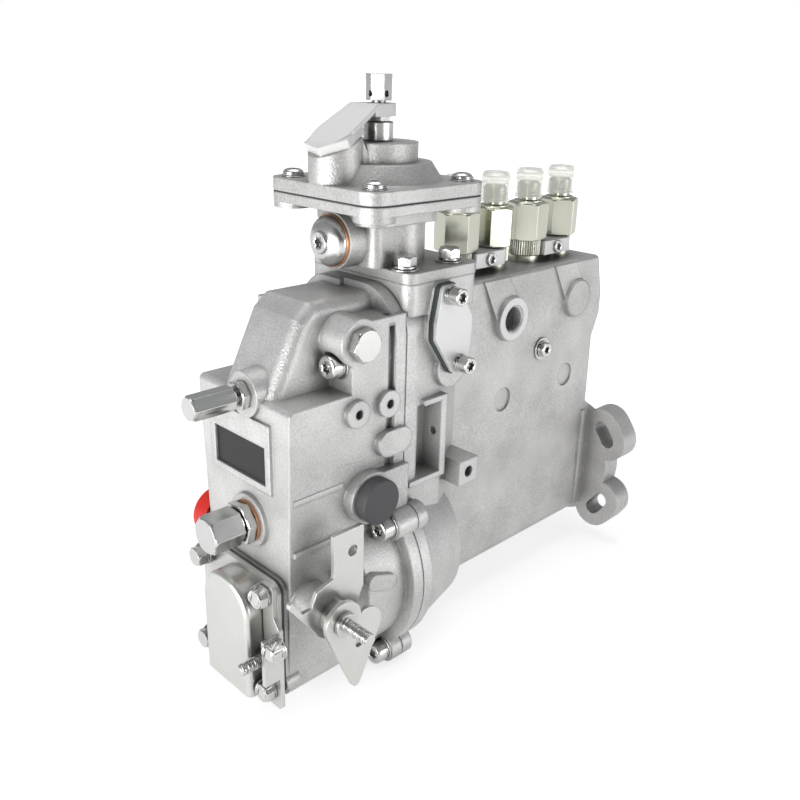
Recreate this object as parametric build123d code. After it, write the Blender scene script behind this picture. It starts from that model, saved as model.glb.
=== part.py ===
from build123d import *
import os
from math import acos, cos, radians

# An in-line fuel injection pump with four pumping elements, a mechanical governor on
# one end and a boost compensator on top. Millimetres. The origin is on the camshaft
# axis, in the face of the drive flange that meets the engine. X runs along the
# camshaft and points out of the flange, Z points up, and -Y is the control side.

os.makedirs("parts", exist_ok=True)

# Clearances
running_fit = 0.05
free_gap = 0.3
seat_gap = 0.02

# Pumping elements
cylinder_count = 4
cylinder_pitch = 32.0
last_cylinder_x = -41.0
first_cylinder_x = last_cylinder_x - (cylinder_count - 1) * cylinder_pitch
cylinder_x = [first_cylinder_x + n * cylinder_pitch for n in range(cylinder_count)]

# Pump housing
housing_gov_x = -160.0
flange_thickness = 15.0
housing_end_x = -flange_thickness
housing_top_z = 150.0
housing_bottom_z = -33.0
housing_top_half = 21.0
housing_bottom_half = 24.0
shoulder_setback = 6.5
shoulder_steps = [(0, 44), (6.5, 50), (6.5, 96), (0, 111), (0, 124)]
housing_low_rounding = 8.0
housing_top_rounding = 2.5
rib_places = (-25.0,)
rib_half = 1.5
rib_height = 1.0
rib_bottom_z = -28.0
rib_top_z = 44.0

# Drive flange and pilot
flange_core_radius = 41.0
bolt_circle_radius = 45.5
slot_width = 10.0
slot_angle = 36.0
slot_sweep = 12.0
lobe_rim = 9.0
pilot_radius = 34.0
pilot_height = 5.0

# Camshaft
cam_base_radius = 11.0
cam_lift = 8.0
cam_nose_radius = 5.0
cam_width = 14.0
cam_angles = (135, 225, 45, 315)
tunnel_clearance = 1.2
journal_radius = 10.0
taper_large_radius = 10.0
taper_small_radius = 7.5
taper_length = 25.0
stub_radius = 6.0
stub_length = 12.0
key_width = 4.0
key_length = 15.0
key_height = 3.0
key_depth = 1.5
drive_nut_flats = 19.0
drive_nut_height = 8.0
drive_washer_radius = 11.0
drive_washer_height = 2.0
shaft_radius = 8.0
shaft_gov_x = -228.0
bearing_outer_radius = 20.0
bearing_width = 14.0
bearing_shoulder = 3.0
rear_bearing_length = 12.0
rear_bearing_inset = 8.0
seal_width = 7.0

# Tappets, plungers and barrels
roller_radius = 8.0
tappet_radius = 12.5
tappet_length = 26.0
roller_overhang = 2.0
roller_width = 9.0
roller_pin_radius = 3.0
pin_inset = 1.2
plunger_radius = 4.5
plunger_foot_radius = 7.0
plunger_foot_height = 2.0
barrel_radius = 8.5
barrel_bottom_z = 90.0
barrel_top_z = 124.0
plunger_top_gap = 1.0
spring_outer_radius = 11.0
spring_wire = 2.0
valve_flange_radius = 8.3
valve_flange_height = 6.0
valve_stem_radius = 5.5
valve_length = 12.0

# Delivery valve holders, dust caps and their clamps
holder_flats = 22.0
holder_turns = (12, 34, 8, 22)
hex_bottom_z = 163.5
hex_height = 22.5
holder_neck_radius = 7.0
holder_neck_height = 4.0
thread_radius = 6.8
thread_height = 8.5
holder_top_z = hex_bottom_z + hex_height + holder_neck_height + thread_height
spline_radius = 9.8
spline_bottom_z = 154.5
holder_base_radius = 9.3
holder_shank_radius = 8.5
holder_bore_radius = 2.0
cap_radius = 8.2
cap_height = 11.0
cap_overlap = 1.0
cap_head_flats = 15.5
cap_head_height = 5.5
clamp_length = 25.4
clamp_height = 8.4
clamp_depth = 26.0
clamp_clearance = 0.1
clamp_screw_radius = 2.5
clamp_head_radius = 3.8
clamp_head_height = 1.6

# Governor housing
gov_front_x = -212.0
gov_top_z = 161.5
arch_drop = 1.5
gov_arch_foot = 40.0
gov_rim = 7.0
gov_half = 37.5
arch_radius = 25.0
drum_radius = 55.4
drum_back_radius = 46.0
drum_back_x = -172.0
drum_neck_radius = 34.0
gov_case_bottom_z = 20.0
roof_pad_height = 16.0
roof_hole_margin = 4.0
roof_rounding = 6.0
taper_half = 25.0
taper_start_x = -205.0
taper_mid_x = -182.0
taper_mid_in = 2.0
gov_wall = 6.0
flyweight_bore = 37.0
gasket_thickness = 0.6
lug_width = 14.8
lug_height = 14.5
lug_reach = 45.0
lug_z = 51.5
lug_hole_depth = 11.0
lug_x = -168.2
lug_hole_radius = 3.2
web_thickness = 4.0
web_x = -183.0
web_reach = 40.0
web_bottom_z = 56.0
web_top_z = 98.0
web_hole_radius = 2.2
web_hole_z = 78.0
web_hole_inset = 6.0
web_shelf = 17.0
web_foot = 27.0
pocket_start_x = -203.0
pocket_floor_y = -26.0
pocket_wall = 4.0

# Governor cover
cover_end_x = -285.0
cover_half = 37.0
cover_low_half = 34.0
cover_bottom_z = -46.0
shelf_z = 114.0
hood_half = 20.0
hood_top_z = 156.5
block_top_z = 148.5
block_x = -247.5
barrel_cover_radius = 49.0
barrel_cover_x = -246.0
cover_rim = 7.0
cover_low_rounding = 6.0
shelf_rounding = 3.0
boss_hole_radius = 2.4
small_boss_radius = 7.0
small_boss_places = [(-245.5, 104.3), (-225.0, 104.7), (-225.0, 83.0)]
small_boss_face = 40.0
hood_outline = [(-285, 90), (-285, 110), (-278, 124), (-265, 150), (-257, 156.5), (-212.6, 156.5), (-212.6, 90)]
hood_rounding = 6.5
hood_tab = ((-223.0, -216.0), (1.0, 17.0), (150.0, 159.6))
rim_groove_x = -224.0
rim_groove_width = 4.0
rim_groove_depth = 3.5
crease_heights = (66.0, 38.0)
crease_width = 3.0
crease_end_x = -252.0
boss_hole_depth = 8.0

# Screws on the governor cover
torx_head_radius = 6.0
torx_head_height = 6.5
torx_washer_radius = 7.0
torx_washer_height = 2.0
torx_shank_radius = 3.0
torx_depth = 6.0
upper_screw_y = 27.5
upper_screw_z = 127.0
middle_screw_y = 42.0
middle_screw_z = 37.5
lower_screw_y = 33.0
lower_screw_z = -47.0
middle_seat_x = -226.0
lower_seat_x = -220.0
screw_boss_radius = 8.0
torx_relief = 0.4
head_rounding = 0.35
socket_share = 0.45

# Stop screws in the end of the cover
stop_y = -4.0
idle_z = 115.0
idle_boss_radius = 11.4
idle_boss_face_x = -287.0
idle_cap_flats = 11.0
idle_cap_length = 23.0
idle_nut_flats = 13.0
idle_nut_height = 4.5
idle_screw_radius = 3.5
idle_gap = 2.0
load_gap = 0.5
stop_screw_depth = 10.0
stop_boss_depth = 12.0
stop_nut_turn = 12.0
load_z = 48.3
load_boss_radius = 14.0
load_boss_face_x = -287.5
load_cap_flats = 17.5
load_cap_length = 17.5
load_nut_flats = 20.0
load_nut_height = 5.0
load_screw_radius = 5.0
load_washer_radius = 11.0
load_washer_thickness = 1.5

# Data plate
plate_window_width = 41.5
plate_window_height = 20.0
plate_y = 1.8
plate_z = 82.0
plate_pad_thickness = 1.6
plate_pad_margin = 4.0
plate_pad_extra = 12.0
plate_thickness = 0.5

# Lower end cover
end_pad_x = -288.0
end_cover_half = 32.5
end_cover_top_z = 25.0
end_cover_bottom_z = -42.0
end_cover_thickness = 2.5
end_gasket_thickness = 1.2
dome_radius = 19.5
dome_height = 12.0
dome_y = -3.5
dome_z = 3.5
dome_rounding = 3.0
dome_foot = 1.0
dome_corner_rest = 0.4
end_bolt_places = [(26.5, 18.5), (24.0, -31.5)]
end_stud_place = (-27.0, -17.0)
bracket_bolt_places = [(-26.0, 18.5), (-28.6, -35.6)]
end_bolt_depth = 7.0
end_washer = (5.5, 4.0)
end_bolt_tip = 3.0
end_bolt_turn = 8.0
end_cover_rounding = 6.0
end_gasket_overhang = 0.3
end_bolt_radius = 3.0
end_bolt_flats = 10.0
end_bolt_head = 4.5
end_stud_length = 20.0
bracket_thickness = 2.5
bracket_outline = [(-22, 25), (-32, 25), (-32, 8), (-36.5, 2), (-36.5, -45), (-23.5, -45), (-23.5, 10), (-22, 14)]
bracket_fold_depth = 9.0
bracket_fold_top_z = 0.0
bracket_fold_bottom_z = -26.0
fold_bolt_x = -299.0
fold_bolt_z = -5.0
bracket_rounding = 2.0

# Union and transit cap on the far side
union_x = -274.0
union_z = 29.0
union_radius = 10.5
union_end_y = 44.0
transit_cap_radius = 14.5
transit_cap_start_y = 36.0
transit_cap_end_y = 48.0
transit_cap_rounding = 2.5

# Boost compensator
comp_x = -198.5
comp_plate_half = 38.0
comp_plate_thickness = 5.5
comp_square_half = 40.0
comp_corner_radius = 10.0
comp_lower_z = 193.0
comp_joint_z = 201.0
comp_cover_top_z = 207.6
comp_neck_half = 19.0
comp_bowl = 50.0
comp_bowl_height = 5.0
bowl_rounding = 12.0
neck_rounding = 5.0
comp_strip_end_x = -174.0
comp_strip_y = -8.0
bridge_half = 11.0
bridge_reach = 6.5
bridge_foot = 14.0
bridge_foot_z = 216.0
comp_column_radius = 12.5
comp_column_y = -11.0
comp_column_x = -194.0
comp_boss_radius = 14.0
comp_boss_face_x = -228.5
comp_boss_z = 179.8
comp_dome_base_radius = 33.0
comp_dome_top_radius = 27.0
comp_dome_top_z = 216.5
comp_hub_radius = 20.0
comp_hub_top_z = 225.8
comp_side_boss_x = -226.0
comp_side_boss_radius = 13.3
comp_side_boss_top_z = 226.0
comp_chamber_radius = 24.0
comp_chamber_height = 6.0
comp_spring_pocket = 20.0
comp_spring_radius = 10.0
comp_spring_wire = 2.0
comp_screw_inset = 10.1
comp_screw_radius = 2.5
comp_screw_end_z = 191.4
comp_corner_drop = 3.0
comp_corner_pad = 10.0
comp_screw_head_radius = 6.0
comp_screw_head_height = 3.0
comp_screw_washer = 0.9
diaphragm_hole_radius = 17.0
diaphragm_thickness = 0.8
rod_radius = 4.0
rod_plate_radius = 16.0
rod_plate_thickness = 1.5
rod_travel = 3.0
rod_bottom_z = 149.5
collar_radius = 7.4
collar_rounding = 0.6
collar_top_z = 235.0
adjuster_nut_flats = 10.0
adjuster_nut_top_z = 241.3
pin_flats = 11.0
pin_bottom_z = 244.6
pin_top_z = 256.7
pin_thread_radius = 3.5
pin_thread_bottom_z = 210.0
pin_turn = 10.0
pin_cross_radius = 1.6
comp_plug_radius = 12.5
comp_plug_height = 6.0
comp_plug_hub_radius = 5.5
comp_plug_hub_height = 1.5
comp_plug_washer = 1.5
washer_overhang = 0.5
comp_plug_thread = 6.0
comp_plug_depth = 11.0
plug_taper = 0.78
plug_rounding = 4.5
mount_bolt_flats = 10.0
mount_bolt_head = 5.0
mount_bolt_radius = 3.0
mount_washer_radius = 7.2
mount_washer_height = 2.2
mount_bolt_places = [(-205, -27.5), (-205, 27.5), (-173, -27.5), (-173, 27.5)]
mount_bolt_depth = 6.0
mount_hole_depth = 8.0

# Seal plate over the compensator's adjuster
seal_slope = 0.466
seal_foot_flats = 25.0
seal_foot_height = 4.4
seal_foot_turn = 16.0
seal_arm_radius = 12.6
seal_arm_thickness = 2.2
seal_skirt_depth = 3.8
seal_skirt_reach = 3.0
seal_tip_radius = 8.5

# Inlet, bleed screw and cast bosses on the side of the pump housing
inlet_x = -112.0
inlet_z = 124.5
inlet_radius = 8.0
inlet_boss_radius = 13.0
inlet_depth = 14.0
inlet_face_y = -26.0
boss_root_y = -8.0
boss_flare = 3.0
wedge_height = 1.0
wedge_left = 24.0
wedge_right = 2.0
wedge_drop = 1.0
wedge_setback = 1.5
bleed_x = -77.0
bleed_z = 98.5
bleed_head_radius = 4.6
bleed_head_height = 3.2
bleed_washer_radius = 7.2
bleed_washer_height = 1.6
blank_boss_x = -45.0
blank_boss_z = 126.0
blank_boss_radius = 12.0
blank_boss_face_y = -25.0
dimple_radius = 7.5
dimple_depth = 1.2
dimple_places = [(-113.0, 73.5), (-49.0, 75.0)]

# Side cover over the rack end
side_cover_x = -184.5
side_cover_z = 136.5
side_pad_height = 2.0
side_cover_points = [(-10, 23.5), (0, 23.5), (12.5, 5), (12.5, -6), (10, -24), (0, -24), (-14, -4), (-14, 5)]
side_screw_offsets = [(-4.5, 18.5), (4.5, -19)]
side_screw_depth = 6.0
side_cover_rounding = 3.0
side_pad_root_y = -20.0
side_pad_radius = 10.5
side_pad_drop = 4.0
side_gasket_thickness = 2.5
side_plate_thickness = 2.5
side_screw_head_radius = 5.0
side_screw_head_height = 8.0

# Plug and rubber cap on the cover's side
hex_plug_x = -242.0
hex_plug_z = 138.5
plug_boss_radius = 12.0
hex_plug_flats = 14.0
hex_plug_height = 5.0
hex_plug_turn = 10.0
rubber_x = -237.5
rubber_z = 57.5
rubber_radius = 12.0
rubber_height = 7.0
rubber_boss_radius = 14.0
rubber_boss_face = 41.5
rubber_stem_radius = 9.0
rubber_stem_length = 7.0
rubber_block_half = 12.0
rubber_rounding = 1.2
plug_stem_radius = 5.0
plug_stem_length = 7.0

# Levers
lever_x = -274.0
lever_z = 11.0
lever_boss_radius = 10.5
lever_boss_face_y = -48.5
lever_shaft_radius = 5.0
lever_plate_y = -50.5
lever_plate_thickness = 2.5
lever_neck_radius = 4.6
spool_radius = 8.5
spool_length = 6.0
fan_thickness = 2.5
fan_stud_radius = 3.0
fan_stud_tip_y = -80.0
lever_shaft_inner_y = -8.0
lever_outline = [(-273, 54), (-254, 54), (-254, 20), (-262, 4), (-274, -1), (-284, 5), (-300, 26), (-299, 30),
                 (-292, 20), (-287, 20), (-283.5, 28), (-273, 31)]
lever_eye = (-261.0, 42.0)
lever_eye_radius = 3.0
lever_rounding = 1.0
lever_hub_radius = 12.0
fan_hub_radius = 11.0
fan_lobe = (-259.0, 3.0)
fan_lobe_radius = 9.5
fan_tip = (-266.0, -27.0)
fan_tip_radius = 3.0
fan_hole = (-264.0, -5.0)
fan_hole_radius = 2.6

# Control rack
rack_y = 14.5
rack_z = 82.0
rack_radius = 3.0
rack_start_x = -196.0
rack_end_x = -35.0
rack_travel = 10.0

# Governor flyweights and sleeve
hub_x = -178.0
hub_plate_radius = 26.0
hub_plate_thickness = 4.0
hub_lug_length = 10.0
hub_lug_thickness = 3.0
hub_lug_half = 4.0
weight_pivot_x = -184.0
weight_pivot_z = 16.0
weight_inner = 4.0
weight_outer = 10.0
weight_length = 22.0
weight_root = 3.0
weight_width = 18.0
weight_pin_radius = 2.5
sleeve_x = -224.0
sleeve_radius = 11.0
sleeve_length = 18.0

X, Y, Z = (1, 0, 0), (0, 1, 0), (0, 0, 1)
BACK, FRONT = (-1, 0, 0), (0, -1, 0)


def save(name, *solids):
    """Write one named sub-part, which may be a group of separate solids."""
    shape = solids[0] if len(solids) == 1 else Compound(list(solids))
    export_step(shape, f"parts/{name}.step")


def rod(x, y, z, direction, radius, length):
    """A cylinder that starts at a point and runs along a direction."""
    shape = Cylinder(radius, length, align=(Align.CENTER, Align.CENTER, Align.MIN))
    return Plane((x, y, z), z_dir=direction) * shape


def cone(x, y, z, direction, start_radius, end_radius, length):
    """A cone that starts at a point and runs along a direction."""
    shape = Cone(start_radius, end_radius, length, align=(Align.CENTER, Align.CENTER, Align.MIN))
    return Plane((x, y, z), z_dir=direction) * shape


def tube(x, y, z, direction, inner, outer, length):
    """A ring that starts at a point and runs along a direction."""
    return rod(x, y, z, direction, outer, length) - rod(x, y, z, direction, inner, length)


def hexagon(x, y, z, direction, flats, length, turn=0.0):
    """A hexagonal bar that starts at a point and runs along a direction."""
    outline = RegularPolygon(flats / 2, 6, major_radius=False, rotation=turn)
    return extrude(Plane((x, y, z), z_dir=direction) * outline, length)


def block(x_range, y_range, z_range):
    """A box between two corners."""
    size = [high - low for low, high in (x_range, y_range, z_range)]
    middle = [(high + low) / 2 for low, high in (x_range, y_range, z_range)]
    return Pos(*middle) * Box(*size)


def polygon(points):
    return make_face(Polyline(*points, close=True))


def across(y, outline):
    """A flat outline of X and Z in a plane of constant Y, which extrudes towards -Y."""
    return Plane((0, y, 0), x_dir=X, z_dir=FRONT) * outline


def endwise(x, outline):
    """A flat outline of Y and Z in a plane of constant X, which extrudes towards +X."""
    return Plane((x, 0, 0), x_dir=Y, z_dir=X) * outline


def upright(z, outline):
    """A flat outline of X and Y at a height."""
    return Pos(0, 0, z) * outline


def drill(body, places, direction, radius, depth):
    """Cut round holes of one size that run along a direction from each place."""
    for x, y, z in places:
        body -= rod(x, y, z, direction, radius, depth)
    return body


def end_rim(body, direction):
    """The circular edges that lie farthest along a direction."""
    return body.edges().filter_by(GeomType.CIRCLE).group_by(Axis((0, 0, 0), direction))[-1]


# Pump housing, camshaft and tappets
cam_nose = cam_base_radius + cam_lift
tunnel_radius = cam_nose + tunnel_clearance
tappet_bore_radius = tappet_radius + running_fit
roller_z = cam_nose + roller_radius + running_fit
tappet_bottom_z = roller_z - roller_overhang
tappet_top_z = tappet_bottom_z + tappet_length
plunger_top_z = barrel_top_z - plunger_top_gap
drive_bearing_x = -seal_width - bearing_width
rear_bearing_x = housing_gov_x - rear_bearing_inset
journal_end_x = rear_bearing_x - seat_gap
taper_end_x = pilot_height + taper_length
gov_back_x = housing_gov_x - gasket_thickness

# Governor housing and cover
cover_rim_x = gov_front_x - gasket_thickness
cover_screws = [(block_x, side * upper_screw_y, upper_screw_z) for side in (-1, 1)]
cover_screws += [(middle_seat_x, side * middle_screw_y, middle_screw_z) for side in (-1, 1)]
cover_screws += [(lower_seat_x, side * lower_screw_y, lower_screw_z) for side in (-1, 1)]
side_cover_face_y = -gov_half - side_pad_height
side_screws = [(side_cover_x + x, side_cover_z + z) for x, z in side_screw_offsets]
end_gasket_x = end_pad_x - end_gasket_thickness
end_plate_x = end_gasket_x - end_cover_thickness
end_mid_z = (end_cover_top_z + end_cover_bottom_z) / 2
bracket_side_y = min(y for y, z in bracket_outline)
end_holes = end_bolt_places + [end_stud_place] + bracket_bolt_places

# Boost compensator
mount_plate_z = gov_top_z + seat_gap
mount_top_z = mount_plate_z + comp_plate_thickness
comp_corner = comp_square_half - comp_screw_inset
comp_screws = [(comp_x + sx * comp_corner, sy * comp_corner) for sx in (-1, 1) for sy in (-1, 1)]
comp_cover_z = comp_joint_z + diaphragm_thickness / 2
comp_body_top_z = comp_joint_z - diaphragm_thickness / 2
rod_plate_gap = (comp_chamber_height - rod_travel) / 4

# Delivery valve holders and clamps
holder_shank_z = barrel_top_z + valve_length
holder_nose_z = hex_bottom_z + hex_height
clamp_x = [(cylinder_x[n] + cylinder_x[n + 1]) / 2 for n in (0, 2)]
clamp_z = spline_bottom_z + clamp_clearance

# Levers
spacer_y = lever_plate_y - lever_plate_thickness
fan_face_y = spacer_y - spool_length - fan_thickness


def cam(x, angle):
    """One lobe: a base circle and a nose circle joined by tangent flanks."""
    base = Circle(cam_base_radius)
    nose = Pos(cam_nose - cam_nose_radius, 0) * Circle(cam_nose_radius)
    lobe = make_hull(base.edges() + nose.edges())
    return extrude(endwise(x - cam_width / 2, Rot(0, 0, angle) * lobe), cam_width)


def flange_slots(width):
    """Four curved slots of one width on the bolt circle."""
    slots = Sketch()
    for side in (0, 180):
        for tilt in (-slot_angle, slot_angle):
            arc = CenterArc((0, 0), bolt_circle_radius, side + tilt - slot_sweep / 2, slot_sweep)
            slots += SlotArc(arc, width)
    return slots


def housing_half_at(z):
    """Half the width of the pump housing's tapered sides at a height."""
    share = (housing_top_z - z) / (housing_top_z - housing_bottom_z)
    return housing_top_half + share * (housing_bottom_half - housing_top_half)


bleed_seat_y = -housing_half_at(bleed_z - bleed_washer_radius)


def cast_boss(x, z, radius, face_y):
    """A round boss that runs out upwards in a leaning wedge below the housing's top."""
    depth = boss_root_y - face_y
    boss = cone(x, boss_root_y, z, FRONT, radius + boss_flare, radius, depth)
    top_z = housing_top_z - wedge_drop
    front = polygon([(x - radius, z), (x + radius, z), (x - wedge_right, top_z), (x - wedge_left, top_z)])
    wedge = extrude(across(boss_root_y, front), depth)
    slope = polygon([(boss_root_y, z), (face_y + wedge_setback, z),
                     (-housing_top_half - wedge_height, top_z), (boss_root_y, top_z)])
    return boss + (wedge & extrude(endwise(x - wedge_left - radius, slope), 2 * (wedge_left + radius)))


def pump_housing():
    section = polygon([
        (-housing_bottom_half, housing_bottom_z), (housing_bottom_half, housing_bottom_z),
        (housing_top_half, housing_top_z), (-housing_top_half, housing_top_z)])
    body = extrude(endwise(housing_gov_x, section), housing_end_x - housing_gov_x)
    setback_x = housing_end_x - shoulder_setback
    side = polygon([(housing_gov_x, housing_bottom_z), (housing_end_x, housing_bottom_z)]
                   + [(housing_end_x - back, z) for back, z in shoulder_steps]
                   + [(setback_x, housing_top_z), (housing_gov_x, housing_top_z)])
    body = body & extrude(across(housing_bottom_half, side), 2 * housing_bottom_half)
    body = fillet(body.edges().filter_by(Axis.X).group_by(Axis.Z)[0], housing_low_rounding)
    body = fillet(body.edges().filter_by(Axis.X).group_by(Axis.Z)[-1], housing_top_rounding)
    body += cast_boss(inlet_x, inlet_z, inlet_boss_radius, inlet_face_y)
    body += cast_boss(blank_boss_x, blank_boss_z, blank_boss_radius, blank_boss_face_y)
    for x in rib_places:
        body += block((x - rib_half, x + rib_half), (-housing_bottom_half - rib_height, -housing_top_half + 1),
                      (rib_bottom_z, rib_top_z))
    flange = Circle(flange_core_radius) + flange_slots(slot_width + 2 * lobe_rim)
    body += extrude(endwise(housing_end_x, flange), flange_thickness)
    body += rod(0, 0, 0, X, pilot_radius, pilot_height)
    body -= extrude(endwise(housing_end_x, flange_slots(slot_width)), flange_thickness)
    shoulder_x = drive_bearing_x - bearing_shoulder
    body -= rod(housing_gov_x, 0, 0, X, tunnel_radius, shoulder_x - housing_gov_x)
    body -= rod(shoulder_x, 0, 0, X, bearing_outer_radius - bearing_shoulder, bearing_shoulder)
    body -= rod(drive_bearing_x, 0, 0, X, bearing_outer_radius + seat_gap, pilot_height - drive_bearing_x)
    for x in cylinder_x:
        body -= rod(x, 0, 0, Z, tappet_bore_radius, barrel_bottom_z)
        body -= rod(x, 0, 0, Z, barrel_radius + seat_gap, housing_top_z)
    body -= rod(inlet_x, inlet_face_y, inlet_z, Y, inlet_radius, inlet_depth)
    body -= rod(bleed_x, bleed_seat_y, bleed_z, Y, torx_shank_radius, torx_depth + 1)
    for x, z in dimple_places:
        body -= rod(x, -housing_half_at(z) + dimple_depth, z, FRONT, dimple_radius, dimple_depth * 2)
    body -= rod(housing_gov_x, rack_y, rack_z, X, rack_radius + running_fit, rack_end_x + rack_travel - housing_gov_x + 1)
    return body


def gov_outline(shrink=0.0):
    """The joint face: an arch on straight sides over the round flyweight case."""
    top = gov_top_z - arch_drop - shrink
    height = top + gov_arch_foot
    outline = Pos(0, top - height / 2) * RectangleRounded(2 * (gov_half - shrink), height, arch_radius - shrink)
    outline += Circle(drum_radius - shrink)
    for _, y, z in cover_screws[2:]:
        outline += Pos(y, z) * Circle(screw_boss_radius - shrink)
    return outline


def side_cover_outline(grow=0.0):
    face = fillet(polygon(side_cover_points).vertices(), side_cover_rounding)
    if grow:
        face = offset(face, grow)
    return Pos(side_cover_x, side_cover_z) * face


def governor_housing():
    depth = gov_back_x - gov_front_x
    plan = polygon([
        (gov_front_x, -gov_half), (taper_start_x, -gov_half), (taper_mid_x, -gov_half + taper_mid_in),
        (gov_back_x, -taper_half), (gov_back_x, taper_half), (taper_mid_x, gov_half - taper_mid_in),
        (taper_start_x, gov_half), (gov_front_x, gov_half)])
    body = extrude(upright(gov_case_bottom_z, plan), gov_top_z - gov_case_bottom_z)
    body = body & extrude(endwise(gov_front_x, gov_outline()), depth)
    body += extrude(endwise(gov_front_x, gov_outline()), gov_rim)
    body += cone(gov_front_x, 0, 0, X, drum_radius, drum_back_radius, drum_back_x - gov_front_x)
    body += cone(drum_back_x, 0, 0, X, drum_back_radius, drum_neck_radius, gov_back_x - drum_back_x)
    roof = Pos((gov_front_x + gov_back_x) / 2, 0) * RectangleRounded(depth, 2 * comp_plate_half, roof_rounding)
    body += extrude(upright(gov_top_z - roof_pad_height, roof), roof_pad_height)
    body += block((lug_x - lug_width / 2, lug_x + lug_width / 2), (-lug_reach, -taper_half + gov_wall),
                  (lug_z - lug_height / 2, lug_z + lug_height / 2))
    root_y = -gov_half + gov_wall
    body += block((web_x - web_thickness, web_x), (-web_reach, root_y), (web_bottom_z, web_top_z))
    body += block((web_x - web_shelf, web_x), (-web_reach, root_y), (web_top_z - 1, web_top_z + 2))
    body += block((web_x - web_foot, web_x), (-web_reach, root_y), (web_bottom_z - 3, web_bottom_z))
    body += extrude(across(side_pad_root_y, side_cover_outline(1.0)), side_pad_root_y - side_cover_face_y)
    x, z = side_screws[1]
    body += rod(x, side_pad_root_y, z - side_pad_drop, FRONT, side_pad_radius, side_pad_root_y - side_cover_face_y)
    inner = gov_half - gov_wall - 2
    cavity = polygon([
        (gov_front_x, -inner), (taper_mid_x, -inner), (gov_back_x - gov_wall, -taper_half + gov_wall),
        (gov_back_x - gov_wall, taper_half - gov_wall), (taper_mid_x, inner), (gov_front_x, inner)])
    roof_z = gov_top_z - roof_pad_height - 2
    body -= extrude(upright(gov_case_bottom_z, cavity), roof_z - gov_case_bottom_z)
    body += block((pocket_start_x - pocket_wall, web_x), (root_y - gov_wall / 2, pocket_floor_y + pocket_wall),
                  (web_bottom_z - pocket_wall, web_top_z + pocket_wall))
    body -= block((pocket_start_x, web_x - web_thickness), (-gov_half - web_thickness, pocket_floor_y),
                  (web_bottom_z, web_top_z - 1))
    wall_x = gov_back_x - gov_wall
    body -= rod(gov_front_x, 0, 0, X, flyweight_bore, wall_x - gov_front_x)
    body -= rod(wall_x - gov_wall, 0, 0, X, bearing_outer_radius + seat_gap, gov_wall * 2)
    body -= rod(wall_x - gov_wall, rack_y, rack_z, X, rack_radius + running_fit, gov_wall * 2)
    body -= rod(lug_x, -lug_reach, lug_z, Y, lug_hole_radius, lug_hole_depth)
    body -= rod(web_x - web_thickness, web_hole_inset - web_reach, web_hole_z, X, web_hole_radius, web_thickness)
    body -= rod(comp_x, 0, roof_z, Z, rod_radius + roof_hole_margin, roof_pad_height + 2)
    body = drill(body, [(gov_front_x, y, z) for _, y, z in cover_screws], X, torx_shank_radius, torx_depth + 1)
    body = drill(body, [(x, y, gov_top_z - mount_hole_depth) for x, y in mount_bolt_places], Z,
                 mount_bolt_radius, mount_hole_depth)
    return drill(body, [(x, side_cover_face_y, z) for x, z in side_screws], Y,
                 torx_shank_radius, side_screw_depth + 1)


def joint_gaskets():
    """Thin gaskets behind and in front of the governor housing and under the side cover."""
    front = extrude(endwise(cover_rim_x, gov_outline() - gov_outline(gov_wall)), gasket_thickness)
    front = drill(front, [(cover_rim_x, y, z) for _, y, z in cover_screws], X, torx_shank_radius, gasket_thickness)
    back = block((gov_back_x, housing_gov_x), (-housing_top_half, housing_top_half),
                 (housing_bottom_z + housing_low_rounding, housing_top_z - housing_top_rounding))
    back -= rod(gov_back_x, 0, 0, X, tunnel_radius, gasket_thickness)
    back -= rod(gov_back_x, rack_y, rack_z, X, rack_radius + running_fit, gasket_thickness)
    side = extrude(across(side_cover_face_y, side_cover_outline(0.7)), side_gasket_thickness)
    side = drill(side, [(x, side_cover_face_y, z) for x, z in side_screws], FRONT,
                 torx_shank_radius, side_gasket_thickness)
    return front, back, side


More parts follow.
